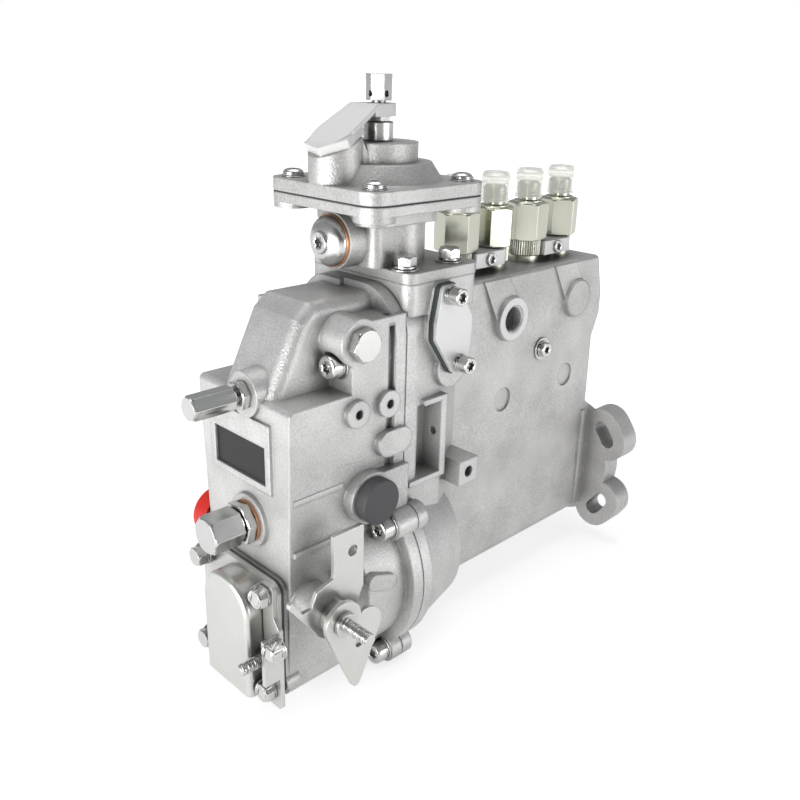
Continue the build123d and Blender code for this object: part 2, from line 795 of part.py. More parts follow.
def governor_cover():
    section = polygon([
        (-cover_low_half + 3, cover_bottom_z), (cover_low_half - 3, cover_bottom_z), (cover_low_half, 31),
        (cover_half, shelf_z), (cover_half, block_top_z), (-cover_half, block_top_z), (-cover_half, shelf_z),
        (-cover_low_half, 31)])
    body = extrude(endwise(cover_end_x, section), cover_rim_x - cover_end_x)
    body = fillet(body.edges().filter_by(Axis.X).group_by(Axis.Z)[0], cover_low_rounding)
    ahead = block((cover_end_x, block_x), (-cover_half, cover_half), (shelf_z, block_top_z))
    body -= ahead
    body = fillet(body.edges().filter_by(Axis.Y).group_by(Axis.X)[0].group_by(Axis.Z)[-1], shelf_rounding)
    grooved = gov_outline(-1.0) - gov_outline(rim_groove_depth)
    body -= extrude(endwise(rim_groove_x, grooved), rim_groove_width)
    hood = extrude(across(hood_half, polygon(hood_outline)), 2 * hood_half)
    long_edges = [edge for edge in hood.edges()
                  if abs(edge.center().Y) > hood_half - 1 and edge.center().Z > hood_outline[1][1]
                  and edge.center().X < cover_rim_x - 1]
    body += fillet(long_edges, hood_rounding)
    body += rod(hex_plug_x, -hood_half + 1, hex_plug_z, FRONT, plug_boss_radius, cover_half - hood_half + 1)
    body += block(*hood_tab)
    body += extrude(endwise(cover_rim_x - cover_rim, gov_outline()), cover_rim)
    body += rod(barrel_cover_x, 0, 0, X, barrel_cover_radius, cover_rim_x - barrel_cover_x)
    for seat, y, z in cover_screws[2:]:
        body += rod(seat, y, z, X, screw_boss_radius, cover_rim_x - seat)
    for seat, y, z in cover_screws[:2]:
        body += rod(seat, y, z, X, screw_boss_radius - 1, cover_rim_x - seat)
    root_y = -cover_low_half + gov_wall
    for x, z in small_boss_places:
        body += rod(x, root_y, z, FRONT, small_boss_radius, root_y + small_boss_face)
    body += rod(rubber_x, root_y, rubber_z, FRONT, rubber_boss_radius, root_y + rubber_boss_face)
    body += block((rubber_x, cover_rim_x), (-rubber_boss_face, root_y),
                  (rubber_z - rubber_block_half, rubber_z + rubber_block_half))
    body += rod(idle_boss_face_x, stop_y, idle_z, X, idle_boss_radius, stop_boss_depth)
    body += rod(load_boss_face_x, stop_y, load_z, X, load_boss_radius, stop_boss_depth)
    body += rod(lever_x, root_y, lever_z, FRONT, lever_boss_radius, root_y - lever_boss_face_y)
    body += extrude(endwise(end_pad_x, end_cover_outline(1.0)), cover_end_x - end_pad_x)
    body += rod(union_x, cover_low_half - gov_wall, union_z, Y, union_radius, union_end_y - cover_low_half + gov_wall)
    for z in crease_heights:
        body += block((cover_end_x + 2, crease_end_x), (-cover_half + 1, root_y), (z, z + crease_width))
    pad_low = plate_z - plate_window_height / 2 - plate_pad_margin
    pad_high = plate_z + plate_window_height / 2 + plate_pad_extra
    pad_half = plate_window_width / 2 + plate_pad_margin
    window_half = plate_window_width / 2
    body += block((cover_end_x - plate_pad_thickness, cover_end_x + 2),
                  (plate_y - pad_half, plate_y + pad_half), (pad_low, pad_high))
    body -= block((cover_end_x - plate_pad_thickness, cover_end_x), (plate_y - window_half, plate_y + window_half),
                  (plate_z - plate_window_height / 2, plate_z + plate_window_height / 2))
    inner = cover_low_half - gov_wall
    body -= block((cover_end_x + gov_wall, cover_rim_x), (-inner, inner),
                  (cover_bottom_z + gov_wall, shelf_z - gov_wall))
    body -= block((block_x + gov_wall, cover_rim_x), (-hood_half + gov_wall, hood_half - gov_wall),
                  (shelf_z - 2 * gov_wall, block_top_z))
    body -= rod(barrel_cover_x + gov_wall, 0, 0, X, flyweight_bore, cover_rim_x - barrel_cover_x - gov_wall)
    body -= rod(idle_boss_face_x, stop_y, idle_z, X, idle_screw_radius + seat_gap, stop_boss_depth)
    body -= rod(load_boss_face_x, stop_y, load_z, X, load_screw_radius + seat_gap, stop_boss_depth)
    body -= rod(lever_x, lever_boss_face_y, lever_z, Y, lever_shaft_radius + running_fit,
                lever_shaft_inner_y - lever_boss_face_y)
    for seat, y, z in cover_screws:
        body -= rod(seat, y, z, X, torx_shank_radius, cover_rim_x - seat)
        head = torx_head_height + torx_washer_height + 1
        body -= rod(seat - head, y, z, X, torx_washer_radius + torx_relief, head)
    body = drill(body, [(x, -small_boss_face, z) for x, z in small_boss_places[:2]], Y, boss_hole_radius, boss_hole_depth)
    body -= rod(hex_plug_x, -cover_half, hex_plug_z, Y, plug_stem_radius, plug_stem_length + 1)
    body -= rod(rubber_x, -rubber_boss_face, rubber_z, Y, rubber_stem_radius, rubber_stem_length + 1)
    return drill(body, [(end_pad_x, y, z) for y, z in end_holes], X, end_bolt_radius, end_bolt_depth + 1)


def offset_point(place, direction, distance):
    return tuple(value + step * distance for value, step in zip(place, direction))


def pan_screw(place, direction, head, shank, washer=None):
    """A round-headed screw that stands on a place; head and shank are radius and length."""
    pieces = []
    back = tuple(-step for step in direction)
    shank_radius, reach = shank
    if washer:
        pieces.append(tube(*place, direction, shank_radius + seat_gap, *washer))
        place = offset_point(place, direction, washer[1])
        reach += washer[1]
    head_radius, head_height = head
    body = rod(*place, direction, head_radius, head_height)
    body = fillet(end_rim(body, direction), head_height * head_rounding)
    body -= rod(*offset_point(place, direction, head_height / 2), direction, head_radius * socket_share, head_height)
    pieces.append(body + rod(*place, back, shank_radius, reach))
    return pieces


def hex_bolt(place, direction, flats, head_height, shank, washer=None, turn=0.0, tip=0.0):
    """A hexagon-headed bolt that stands on a place, or a nut on a stud if the stud has a tip."""
    pieces = []
    back = tuple(-step for step in direction)
    shank_radius, reach = shank
    if washer:
        pieces.append(tube(*place, direction, shank_radius + seat_gap, *washer))
        place = offset_point(place, direction, washer[1])
        reach += washer[1]
    head = hexagon(*place, direction, flats, head_height, turn)
    if tip:
        head += rod(*place, direction, shank_radius, head_height + tip)
    pieces.append(head + rod(*place, back, shank_radius, reach))
    return pieces


def governor_cover_screws():
    pieces = []
    for seat, y, z in cover_screws:
        pieces += pan_screw((seat, y, z), BACK, (torx_head_radius, torx_head_height),
                            (torx_shank_radius - seat_gap, gov_front_x + torx_depth - seat),
                            (torx_washer_radius, torx_washer_height))
    return pieces


def stop_screw(z, face_x, cap_size, nut_size, screw_radius, gap, washer=None):
    """An adjusting screw in the end face, as its cap nut with the screw, jam nut and washer."""
    x = face_x
    ring = None
    if washer:
        x -= washer[1]
        ring = tube(x, stop_y, z, X, screw_radius + seat_gap, *washer)
    flats, height = nut_size
    x -= height
    nut = hexagon(x, stop_y, z, X, flats, height, stop_nut_turn) - rod(x, stop_y, z, X, screw_radius + seat_gap, height)
    flats, height = cap_size
    x -= gap + height
    cap = hexagon(x, stop_y, z, X, flats, height) & cone(x, stop_y, z, X, flats / 2, flats / 2 + 2 * height, height)
    cap += rod(x + height, stop_y, z, X, screw_radius, face_x + stop_screw_depth - x - height)
    return cap, nut, ring


def data_plate():
    half_width = plate_window_width / 2 - free_gap
    half_height = plate_window_height / 2 - free_gap
    return block((cover_end_x - plate_thickness, cover_end_x), (plate_y - half_width, plate_y + half_width),
                 (plate_z - half_height, plate_z + half_height))


def end_cover_outline(shrink=0.0):
    width = 2 * (end_cover_half - shrink)
    height = end_cover_top_z - end_cover_bottom_z - 2 * shrink
    return Pos(0, end_mid_z) * RectangleRounded(width, height, end_cover_rounding)


def dome_outline(shrink=0.0):
    """An arched panel that runs down almost to the cover's lower edge."""
    radius = dome_radius - shrink
    bottom = end_cover_bottom_z + dome_foot + shrink
    return Pos(dome_y, (dome_z + radius + bottom) / 2) * RectangleRounded(
        2 * radius, dome_z + radius - bottom, radius - dome_corner_rest) + Pos(
        dome_y, (dome_z + bottom) / 2) * Rectangle(2 * radius, dome_z - bottom)


def end_cover():
    body = extrude(endwise(end_plate_x, end_cover_outline()), end_cover_thickness)
    dome = extrude(endwise(end_plate_x - dome_height, dome_outline()), dome_height)
    front = dome.edges().group_by(Axis.X)[0].sort_by(Axis.Z)[1:]
    body += fillet(front, dome_rounding)
    inside = dome_outline(dome_rounding)
    body -= extrude(endwise(end_plate_x - dome_height + end_cover_thickness, inside), dome_height)
    return drill(body, [(end_plate_x, y, z) for y, z in end_holes], X, end_bolt_radius, end_cover_thickness)


def end_cover_gasket():
    outline = end_cover_outline(-end_gasket_overhang) - dome_outline(end_cover_thickness)
    body = extrude(endwise(end_gasket_x, outline), end_gasket_thickness)
    return drill(body, [(end_gasket_x, y, z) for y, z in end_holes], X, end_bolt_radius, end_gasket_thickness)


def cable_bracket():
    """A steel strip along the cover's side."""
    outline = fillet(polygon(bracket_outline).vertices(), bracket_rounding)
    x = end_plate_x - bracket_thickness
    body = extrude(endwise(x, outline), bracket_thickness)
    body += block((x - bracket_fold_depth, x + bracket_thickness), (bracket_side_y, bracket_side_y + bracket_thickness),
                  (bracket_fold_bottom_z, bracket_fold_top_z))
    body -= rod(fold_bolt_x, bracket_side_y, fold_bolt_z, Y, end_bolt_radius, bracket_thickness)
    return drill(body, [(x, y, z) for y, z in bracket_bolt_places + [end_stud_place]], X,
                 end_bolt_radius, bracket_thickness)


def end_cover_bolts():
    pieces = []
    radius = end_bolt_radius - seat_gap
    depth = end_pad_x + end_bolt_depth
    for y, z in end_bolt_places:
        pieces += hex_bolt((end_plate_x, y, z), BACK, end_bolt_flats, end_bolt_head,
                           (radius, depth - end_plate_x), end_washer, end_bolt_turn, end_bolt_tip)
    bracket_x = end_plate_x - bracket_thickness
    for y, z in bracket_bolt_places:
        pieces += hex_bolt((bracket_x, y, z), BACK, end_bolt_flats, end_bolt_head,
                           (radius, depth - bracket_x), end_washer)
    pieces += hex_bolt((fold_bolt_x, bracket_side_y, fold_bolt_z), FRONT, end_bolt_flats, end_bolt_head,
                       (radius, bracket_thickness + end_bolt_tip), end_washer)
    y, z = end_stud_place
    pieces.append(rod(end_plate_x - end_stud_length, y, z, X, radius, end_stud_length + depth - end_plate_x))
    return pieces


def transit_cap():
    """A push-on plastic cap over the union at the far side."""
    body = rod(union_x, transit_cap_start_y, union_z, Y, transit_cap_radius, transit_cap_end_y - transit_cap_start_y)
    body = fillet(end_rim(body, Y), transit_cap_rounding)
    return body - rod(union_x, transit_cap_start_y, union_z, Y, union_radius + seat_gap,
                      union_end_y - transit_cap_start_y + seat_gap)


def compensator_square(z, height, shrink=0.0):
    side = 2 * (comp_square_half - shrink)
    return extrude(upright(z, Pos(comp_x, 0) * RectangleRounded(side, side, comp_corner_radius)), height)


def compensator_body():
    length = housing_gov_x - gov_front_x
    plate = Pos((gov_front_x + housing_gov_x) / 2, 0) * RectangleRounded(length, 2 * comp_plate_half, roof_rounding)
    body = extrude(upright(mount_plate_z, plate), comp_plate_thickness)
    shelf_z_low = comp_lower_z + comp_corner_drop
    body += compensator_square(shelf_z_low, comp_body_top_z - shelf_z_low)
    pads = Sketch() + [Pos(x, y) * Circle(comp_corner_pad) for x, y in comp_screws]
    body += compensator_square(comp_lower_z, comp_corner_drop) & extrude(upright(comp_lower_z, pads), comp_corner_drop)
    neck = Pos(comp_x, 0) * RectangleRounded(2 * comp_neck_half, 2 * comp_neck_half, neck_rounding)
    body += extrude(upright(mount_top_z, neck), comp_lower_z - mount_top_z)
    bowl = Pos(comp_x, 0) * RectangleRounded(comp_bowl, comp_bowl, bowl_rounding)
    body += extrude(upright(comp_lower_z - comp_bowl_height, bowl), comp_bowl_height + comp_corner_drop)
    body += rod(comp_column_x, comp_column_y, mount_top_z, Z, comp_column_radius, comp_lower_z - mount_top_z)
    body += block((comp_column_x, comp_strip_end_x), (comp_strip_y, 0), (mount_top_z, comp_lower_z))
    body += rod(comp_boss_face_x, 0, comp_boss_z, X, comp_boss_radius, comp_x - comp_boss_face_x)
    body = drill(body, [(x, y, comp_screw_end_z) for x, y in comp_screws], Z, comp_screw_radius,
                 comp_body_top_z - comp_screw_end_z)
    body -= rod(comp_x, 0, comp_joint_z - comp_chamber_height, Z, comp_chamber_radius, comp_chamber_height)
    body -= rod(comp_x, 0, comp_joint_z - comp_spring_pocket, Z, comp_spring_radius + 1, comp_spring_pocket)
    body -= rod(comp_x, 0, mount_plate_z, Z, rod_radius + running_fit, comp_joint_z - mount_plate_z)
    body -= rod(comp_boss_face_x, 0, comp_boss_z, X, comp_plug_thread, comp_plug_depth + 1)
    return drill(body, [(x, y, mount_plate_z) for x, y in mount_bolt_places], Z,
                 mount_bolt_radius, comp_plate_thickness)


def seal_z_at(x):
    """The height of the side boss's slanted face."""
    return comp_side_boss_top_z + seal_slope * (x - comp_side_boss_x)


def side_boss():
    """A round boss with a slanted face, joined to the hub by a bridge."""
    left = comp_side_boss_x - comp_side_boss_radius
    right = comp_side_boss_x + bridge_reach
    profile = polygon([(left, comp_cover_top_z), (left, seal_z_at(left)), (right, seal_z_at(right)),
                       (comp_side_boss_x + bridge_foot, bridge_foot_z), (comp_x, bridge_foot_z),
                       (comp_x, comp_cover_top_z)])
    plan = Pos(comp_side_boss_x, 0) * Circle(comp_side_boss_radius)
    plan += Pos((comp_side_boss_x + comp_x) / 2, 0) * Rectangle(comp_x - comp_side_boss_x, 2 * bridge_half)
    column = extrude(upright(comp_cover_top_z, plan), seal_z_at(right) - comp_cover_top_z)
    return column & extrude(across(comp_side_boss_radius, profile), 2 * comp_side_boss_radius)


def compensator_cover():
    body = compensator_square(comp_cover_z, comp_cover_top_z - comp_cover_z)
    body += cone(comp_x, 0, comp_cover_top_z, Z, comp_dome_base_radius, comp_dome_top_radius,
                 comp_dome_top_z - comp_cover_top_z)
    body += rod(comp_x, 0, comp_cover_top_z, Z, comp_hub_radius, comp_hub_top_z - comp_cover_top_z)
    body += side_boss()
    body -= rod(comp_x, 0, comp_cover_z, Z, comp_chamber_radius, comp_chamber_height)
    body -= rod(comp_x, 0, comp_cover_z, Z, pin_thread_radius + seat_gap, comp_hub_top_z - comp_cover_z)
    return drill(body, [(x, y, comp_cover_z) for x, y in comp_screws], Z, comp_screw_radius,
                 comp_cover_top_z - comp_cover_z)


def compensator_diaphragm():
    body = compensator_square(comp_body_top_z, diaphragm_thickness, free_gap)
    body -= rod(comp_x, 0, comp_body_top_z, Z, diaphragm_hole_radius, diaphragm_thickness)
    return drill(body, [(x, y, comp_body_top_z) for x, y in comp_screws], Z, comp_screw_radius, diaphragm_thickness)


def compensator_rod():
    """The push rod and the two plates that grip the diaphragm's middle."""
    body = rod(comp_x, 0, rod_bottom_z, Z, rod_radius, comp_joint_z + rod_plate_gap + rod_plate_thickness - rod_bottom_z)
    body += rod(comp_x, 0, comp_joint_z - rod_plate_thickness, Z, rod_plate_radius, rod_plate_thickness)
    return body + rod(comp_x, 0, comp_joint_z + seat_gap, Z, rod_plate_radius, rod_plate_thickness)


def compensator_spring():
    low = comp_joint_z - comp_spring_pocket + running_fit
    high = comp_joint_z - rod_plate_thickness - running_fit
    return tube(comp_x, 0, low, Z, comp_spring_radius - comp_spring_wire, comp_spring_radius, high - low)


def compensator_cover_screws():
    pieces = []
    reach = comp_cover_top_z - comp_screw_end_z - 1
    for x, y in comp_screws:
        pieces += pan_screw((x, y, comp_cover_top_z), Z, (comp_screw_head_radius - 1, comp_screw_head_height),
                            (comp_screw_radius - seat_gap, reach), (comp_screw_head_radius, comp_screw_washer))
    return pieces


def compensator_mount_bolts():
    pieces = []
    for x, y in mount_bolt_places:
        pieces += hex_bolt((x, y, mount_top_z), Z, mount_bolt_flats, mount_bolt_head,
                           (mount_bolt_radius - seat_gap, comp_plate_thickness + mount_bolt_depth),
                           (mount_washer_radius, mount_washer_height))
    return pieces


def compensator_plug():
    """The domed plug in the neck's side boss, and the copper washer behind it."""
    washer_x = comp_boss_face_x - comp_plug_washer
    washer = tube(washer_x, 0, comp_boss_z, X, comp_plug_thread, comp_plug_radius + washer_overhang, comp_plug_washer)
    plug = cone(washer_x, 0, comp_boss_z, BACK, comp_plug_radius, comp_plug_radius * plug_taper, comp_plug_height)
    plug = fillet(end_rim(plug, BACK), plug_rounding)
    hub_x = washer_x - comp_plug_height - comp_plug_hub_height
    plug += rod(hub_x, 0, comp_boss_z, X, comp_plug_hub_radius, comp_plug_hub_height + 1)
    plug -= rod(hub_x, 0, comp_boss_z, X, comp_plug_hub_radius * socket_share, comp_plug_hub_height)
    return plug + rod(washer_x, 0, comp_boss_z, X, comp_plug_thread - seat_gap, comp_plug_depth), washer


def adjuster():
    """The collar, the lock nut and the hexagonal pin on top of the compensator."""
    collar = rod(comp_x, 0, comp_hub_top_z, Z, collar_radius, collar_top_z - comp_hub_top_z)
    collar = fillet(collar.edges().filter_by(GeomType.CIRCLE), collar_rounding)
    collar -= rod(comp_x, 0, comp_hub_top_z, Z, pin_thread_radius + seat_gap, collar_top_z - comp_hub_top_z)
    nut_height = adjuster_nut_top_z - collar_top_z
    nut = hexagon(comp_x, 0, collar_top_z, Z, adjuster_nut_flats, nut_height)
    nut -= rod(comp_x, 0, collar_top_z, Z, pin_thread_radius + seat_gap, nut_height)
    pin = hexagon(comp_x, 0, pin_bottom_z, Z, pin_flats, pin_top_z - pin_bottom_z, pin_turn)
    pin += rod(comp_x, 0, pin_thread_bottom_z, Z, pin_thread_radius, pin_bottom_z - pin_thread_bottom_z)
    for direction in (X, Y):
        start = offset_point((comp_x, 0, pin_bottom_z + 2 * pin_cross_radius), direction, -pin_flats)
        pin -= rod(*start, direction, pin_cross_radius, 2 * pin_flats)
    return collar, nut, pin


def seal_plate():
    """A slanted steel plate: a hexagonal foot on the side boss and an arm that climbs to the pin."""
    slant = (-seal_slope, 0, 1)
    foot = hexagon(comp_side_boss_x, 0, comp_side_boss_top_z + seat_gap, slant, seal_foot_flats, seal_foot_height,
                   seal_foot_turn)
    thick = seal_arm_thickness
    start_x = comp_side_boss_x - seal_arm_radius
    bend_x = comp_x - seal_tip_radius
    end_x = comp_x + seal_tip_radius
    low = adjuster_nut_top_z
    lift = seal_foot_height
    path = polygon([(start_x, seal_z_at(start_x) + lift - thick), (bend_x, low), (end_x, low), (end_x, low + thick),
                    (bend_x - 1, low + thick), (start_x, seal_z_at(start_x) + lift)])
    profile = extrude(across(seal_arm_radius, path), 2 * seal_arm_radius)
    wide = Pos(comp_side_boss_x, 0) * Circle(seal_arm_radius)
    narrow = Pos(comp_x, 0) * Circle(seal_tip_radius)
    plan = make_hull(wide.edges() + narrow.edges())
    arm = profile & extrude(upright(comp_side_boss_top_z - lift, plan), low + lift - comp_side_boss_top_z + lift)
    skirt_plan = plan - offset(plan, -thick)
    skirt = extrude(upright(low - seal_skirt_depth, skirt_plan), seal_skirt_depth + thick / 2)
    skirt = skirt & block((bend_x - seal_skirt_reach, end_x), (-seal_arm_radius, seal_arm_radius),
                          (low - seal_skirt_depth, low + thick))
    body = foot + arm + skirt
    hub_top = comp_hub_top_z + free_gap
    body -= rod(comp_x, 0, hub_top - seal_foot_height, Z, comp_hub_radius + free_gap, seal_foot_height)
    return body - rod(comp_x, 0, low, Z, pin_thread_radius + seat_gap, thick)


def valve_holder(x, turn):
    """A delivery valve holder: shank, splined ring, hexagon and threaded nose, with a fuel bore."""
    body = rod(x, 0, holder_shank_z, Z, holder_shank_radius, housing_top_z - holder_shank_z)
    body += rod(x, 0, housing_top_z, Z, holder_base_radius, spline_bottom_z - housing_top_z)
    body += rod(x, 0, spline_bottom_z, Z, spline_radius, hex_bottom_z - spline_bottom_z)
    body += hexagon(x, 0, hex_bottom_z, Z, holder_flats, hex_height, turn)
    body += rod(x, 0, holder_nose_z, Z, holder_neck_radius, holder_neck_height)
    body += rod(x, 0, holder_nose_z + holder_neck_height, Z, thread_radius, thread_height)
    return body - rod(x, 0, holder_shank_z, Z, holder_bore_radius, holder_top_z - holder_shank_z)


def dust_cap(x, turn):
    """A push-on plastic cap with a six-sided head, hollow over the thread."""
    low = holder_nose_z + holder_neck_height - cap_overlap
    body = rod(x, 0, low, Z, cap_radius, cap_height)
    body += hexagon(x, 0, low + cap_height, Z, cap_head_flats, cap_head_height, turn)
    return body - rod(x, 0, low, Z, holder_neck_radius + seat_gap, holder_top_z - low + free_gap)


def holder_clamp(x):
    """A block that locks two neighbouring splined rings."""
    body = block((x - clamp_length / 2, x + clamp_length / 2), (-clamp_depth / 2, clamp_depth / 2),
                 (clamp_z, clamp_z + clamp_height))
    for side in (-1, 1):
        body -= rod(x + side * cylinder_pitch / 2, 0, clamp_z, Z, spline_radius + clamp_clearance, clamp_height)
    return body - rod(x, -clamp_depth / 2, clamp_z + clamp_height / 2, Y, clamp_screw_radius, clamp_depth)


def clamp_screw(x):
    return pan_screw((x, -clamp_depth / 2, clamp_z + clamp_height / 2), FRONT, (clamp_head_radius, clamp_head_height),
                     (clamp_screw_radius - seat_gap, clamp_depth))


def side_cover():
    plate_y = side_cover_face_y - side_gasket_thickness
    body = extrude(across(plate_y, side_cover_outline()), side_plate_thickness)
    return drill(body, [(x, plate_y, z) for x, z in side_screws], FRONT, torx_shank_radius, side_plate_thickness)


def side_cover_screws():
    pieces = []
    stack = side_gasket_thickness + side_plate_thickness
    for x, z in side_screws:
        pieces += pan_screw((x, side_cover_face_y - stack, z), FRONT, (side_screw_head_radius, side_screw_head_height),
                            (torx_shank_radius - seat_gap, stack + side_screw_depth))
    return pieces


def bleed_screw():
    return pan_screw((bleed_x, bleed_seat_y - seat_gap, bleed_z), FRONT, (bleed_head_radius, bleed_head_height),
                     (torx_shank_radius - seat_gap, torx_depth), (bleed_washer_radius, bleed_washer_height))


def side_plug():
    head = hexagon(hex_plug_x, -cover_half, hex_plug_z, FRONT, hex_plug_flats, hex_plug_height, hex_plug_turn)
    return head + rod(hex_plug_x, -cover_half, hex_plug_z, Y, plug_stem_radius - seat_gap, plug_stem_length)


def rubber_plug():
    body = rod(rubber_x, -rubber_boss_face, rubber_z, FRONT, rubber_radius, rubber_height)
    body = fillet(end_rim(body, FRONT), rubber_rounding)
    return body + rod(rubber_x, -rubber_boss_face, rubber_z, Y, rubber_stem_radius - seat_gap, rubber_stem_length)


def key_block(grow=0.0):
    """The key's place, sunk into the top of the drive taper."""
    x = pilot_height + taper_length / 2
    z = taper_large_radius
    return block((x - key_length / 2 - grow, x + key_length / 2 + grow), (-key_width / 2 - grow, key_width / 2 + grow),
                 (z - key_height - key_depth - grow, z))


def camshaft():
    """The shaft from the governor's sleeve to the drive taper, with four lobes."""
    body = rod(shaft_gov_x, 0, 0, X, shaft_radius, journal_end_x - shaft_gov_x)
    body += rod(journal_end_x, 0, 0, X, journal_radius, pilot_height - journal_end_x)
    for x, angle in zip(cylinder_x, cam_angles):
        body += cam(x, angle)
    body += cone(pilot_height, 0, 0, X, taper_large_radius, taper_small_radius, taper_length)
    body += rod(taper_end_x, 0, 0, X, stub_radius, stub_length)
    return body - key_block(seat_gap)


def drive_nut():
    washer = tube(taper_end_x, 0, 0, X, stub_radius + seat_gap, drive_washer_radius, drive_washer_height)
    nut_x = taper_end_x + drive_washer_height
    nut = hexagon(nut_x, 0, 0, X, drive_nut_flats, drive_nut_height)
    return washer, nut - rod(nut_x, 0, 0, X, stub_radius + seat_gap, drive_nut_height)


def bearing(x, length):
    return tube(x, 0, 0, X, journal_radius + running_fit, bearing_outer_radius, length)


def roller_tappet(x):
    """A tappet with its roller and pin, and the plunger that stands on it."""
    shell = rod(x, 0, tappet_bottom_z, Z, tappet_radius, tappet_length)
    half = roller_width / 2 + free_gap
    shell -= block((x - half, x + half), (-tappet_radius, tappet_radius),
                   (tappet_bottom_z, roller_z + roller_radius + free_gap))
    left = x - tappet_radius
    shell -= rod(left, 0, roller_z, X, roller_pin_radius + seat_gap, 2 * tappet_radius)
    pin = rod(left + pin_inset, 0, roller_z, X, roller_pin_radius, 2 * (tappet_radius - pin_inset))
    roller = tube(x - roller_width / 2, 0, roller_z, X, roller_pin_radius + seat_gap, roller_radius, roller_width)
    plunger = rod(x, 0, tappet_top_z, Z, plunger_foot_radius, plunger_foot_height)
    plunger += rod(x, 0, tappet_top_z, Z, plunger_radius, plunger_top_z - tappet_top_z)
    return shell, pin, roller, plunger


def plunger_spring(x):
    low = tappet_top_z + running_fit
    return tube(x, 0, low, Z, spring_outer_radius - spring_wire, spring_outer_radius,
                barrel_bottom_z - running_fit - low)


def barrel(x):
    return tube(x, 0, barrel_bottom_z, Z, plunger_radius + running_fit, barrel_radius, barrel_top_z - barrel_bottom_z)


def delivery_valve(x):
    body = rod(x, 0, barrel_top_z, Z, valve_flange_radius, valve_flange_height)
    body += rod(x, 0, barrel_top_z, Z, valve_stem_radius, valve_length)
    return body - rod(x, 0, barrel_top_z, Z, holder_bore_radius, valve_length)


def governor_hub():
    """The carrier plate on the camshaft, with lugs and pins for the two flyweights."""
    body = rod(hub_x, 0, 0, X, hub_plate_radius, hub_plate_thickness)
    inner = weight_width / 2 + free_gap
    outer = inner + hub_lug_thickness
    for side in (-1, 1):
        z = side * weight_pivot_z
        for low, high in ((-outer, -inner), (inner, outer)):
            body += block((hub_x - hub_lug_length, hub_x), (low, high), (z - hub_lug_half, z + hub_lug_half))
        body += rod(weight_pivot_x, -outer, z, Y, weight_pin_radius, 2 * outer)
    return body - rod(hub_x, 0, 0, X, shaft_radius + seat_gap, hub_plate_thickness)


def flyweight(side):
    """A weight that swings out about its pin."""
    low, high = sorted((side * (weight_pivot_z - weight_inner), side * (weight_pivot_z + weight_outer)))
    half = weight_width / 2
    body = block((weight_pivot_x - weight_length, weight_pivot_x - weight_inner), (-half, half), (low, high))
    z = side * weight_pivot_z
    body += rod(weight_pivot_x, -half, z, Y, weight_inner + 1, weight_width)
    return body - rod(weight_pivot_x, -half, z, Y, weight_pin_radius + running_fit, weight_width)


def lever_shaft():
    """The lever shaft, its threaded nose and the spacer between the two levers."""
    body = rod(lever_x, lever_plate_y, lever_z, Y, lever_shaft_radius, lever_shaft_inner_y - lever_plate_y)
    body += rod(lever_x, fan_face_y, lever_z, Y, lever_neck_radius, lever_plate_y - fan_face_y)
    body += rod(lever_x, fan_stud_tip_y, lever_z, Y, fan_stud_radius, fan_face_y - fan_stud_tip_y)
    spacer = tube(lever_x, spacer_y, lever_z, FRONT, lever_neck_radius + seat_gap, spool_radius, spool_length)
    return body, spacer


def throttle_lever():
    """A flat lever with a square eye above and a spring notch at its side."""
    outline = fillet(polygon(lever_outline).vertices(), lever_rounding)
    outline += Pos(lever_x, lever_z) * Circle(lever_hub_radius)
    outline -= Pos(*lever_eye) * Circle(lever_eye_radius)
    outline -= Pos(lever_x, lever_z) * Circle(lever_neck_radius + seat_gap)
    return extrude(across(lever_plate_y, outline), lever_plate_thickness)


def fan_lever():
    """A fan-shaped lever: two round lobes and a long rounded tip."""
    hub = Pos(lever_x, lever_z) * Circle(fan_hub_radius)
    lobe = Pos(*fan_lobe) * Circle(fan_lobe_radius)
    tip = Pos(*fan_tip) * Circle(fan_tip_radius)
    outline = make_hull(hub.edges() + tip.edges()) + make_hull(lobe.edges() + tip.edges())
    outline -= Pos(lever_x, lever_z) * Circle(lever_neck_radius + seat_gap)
    outline -= Pos(*fan_hole) * Circle(fan_hole_radius)
    return extrude(across(fan_face_y + fan_thickness, outline), fan_thickness)


save("pump_housing", pump_housing())
save("governor_housing", governor_housing())
save("governor_cover", governor_cover())
save("joint_gaskets", *joint_gaskets())
save("governor_cover_screws", *governor_cover_screws())
idle_screw, idle_nut, _ = stop_screw(
    idle_z, idle_boss_face_x, (idle_cap_flats, idle_cap_length), (idle_nut_flats, idle_nut_height),
    idle_screw_radius, idle_gap)
load_screw, load_nut, load_washer = stop_screw(
    load_z, load_boss_face_x, (load_cap_flats, load_cap_length), (load_nut_flats, load_nut_height),
    load_screw_radius, load_gap, (load_washer_radius, load_washer_thickness))
plug, plug_washer = compensator_plug()
save("idle_stop_screw", idle_screw)
save("full_load_stop_screw", load_screw)
save("stop_screw_jam_nuts", idle_nut, load_nut)
save("copper_washers", load_washer, plug_washer)
save("data_plate", data_plate())
save("end_cover", end_cover())
save("end_cover_gasket", end_cover_gasket())
save("end_cover_bolts", *end_cover_bolts())
save("cable_bracket", cable_bracket())
save("transit_cap", transit_cap())

save("compensator_body", compensator_body())
save("compensator_cover", compensator_cover())
save("compensator_diaphragm", compensator_diaphragm())
save("compensator_rod", compensator_rod())
save("compensator_spring", compensator_spring())
save("compensator_cover_screws", *compensator_cover_screws())
save("compensator_mount_bolts", *compensator_mount_bolts())
save("compensator_plug", plug)
collar, lock_nut, pin = adjuster()
save("adjuster_collar", collar)
save("adjuster_lock_nut", lock_nut)
save("adjuster_pin", pin)
save("seal_plate", seal_plate())

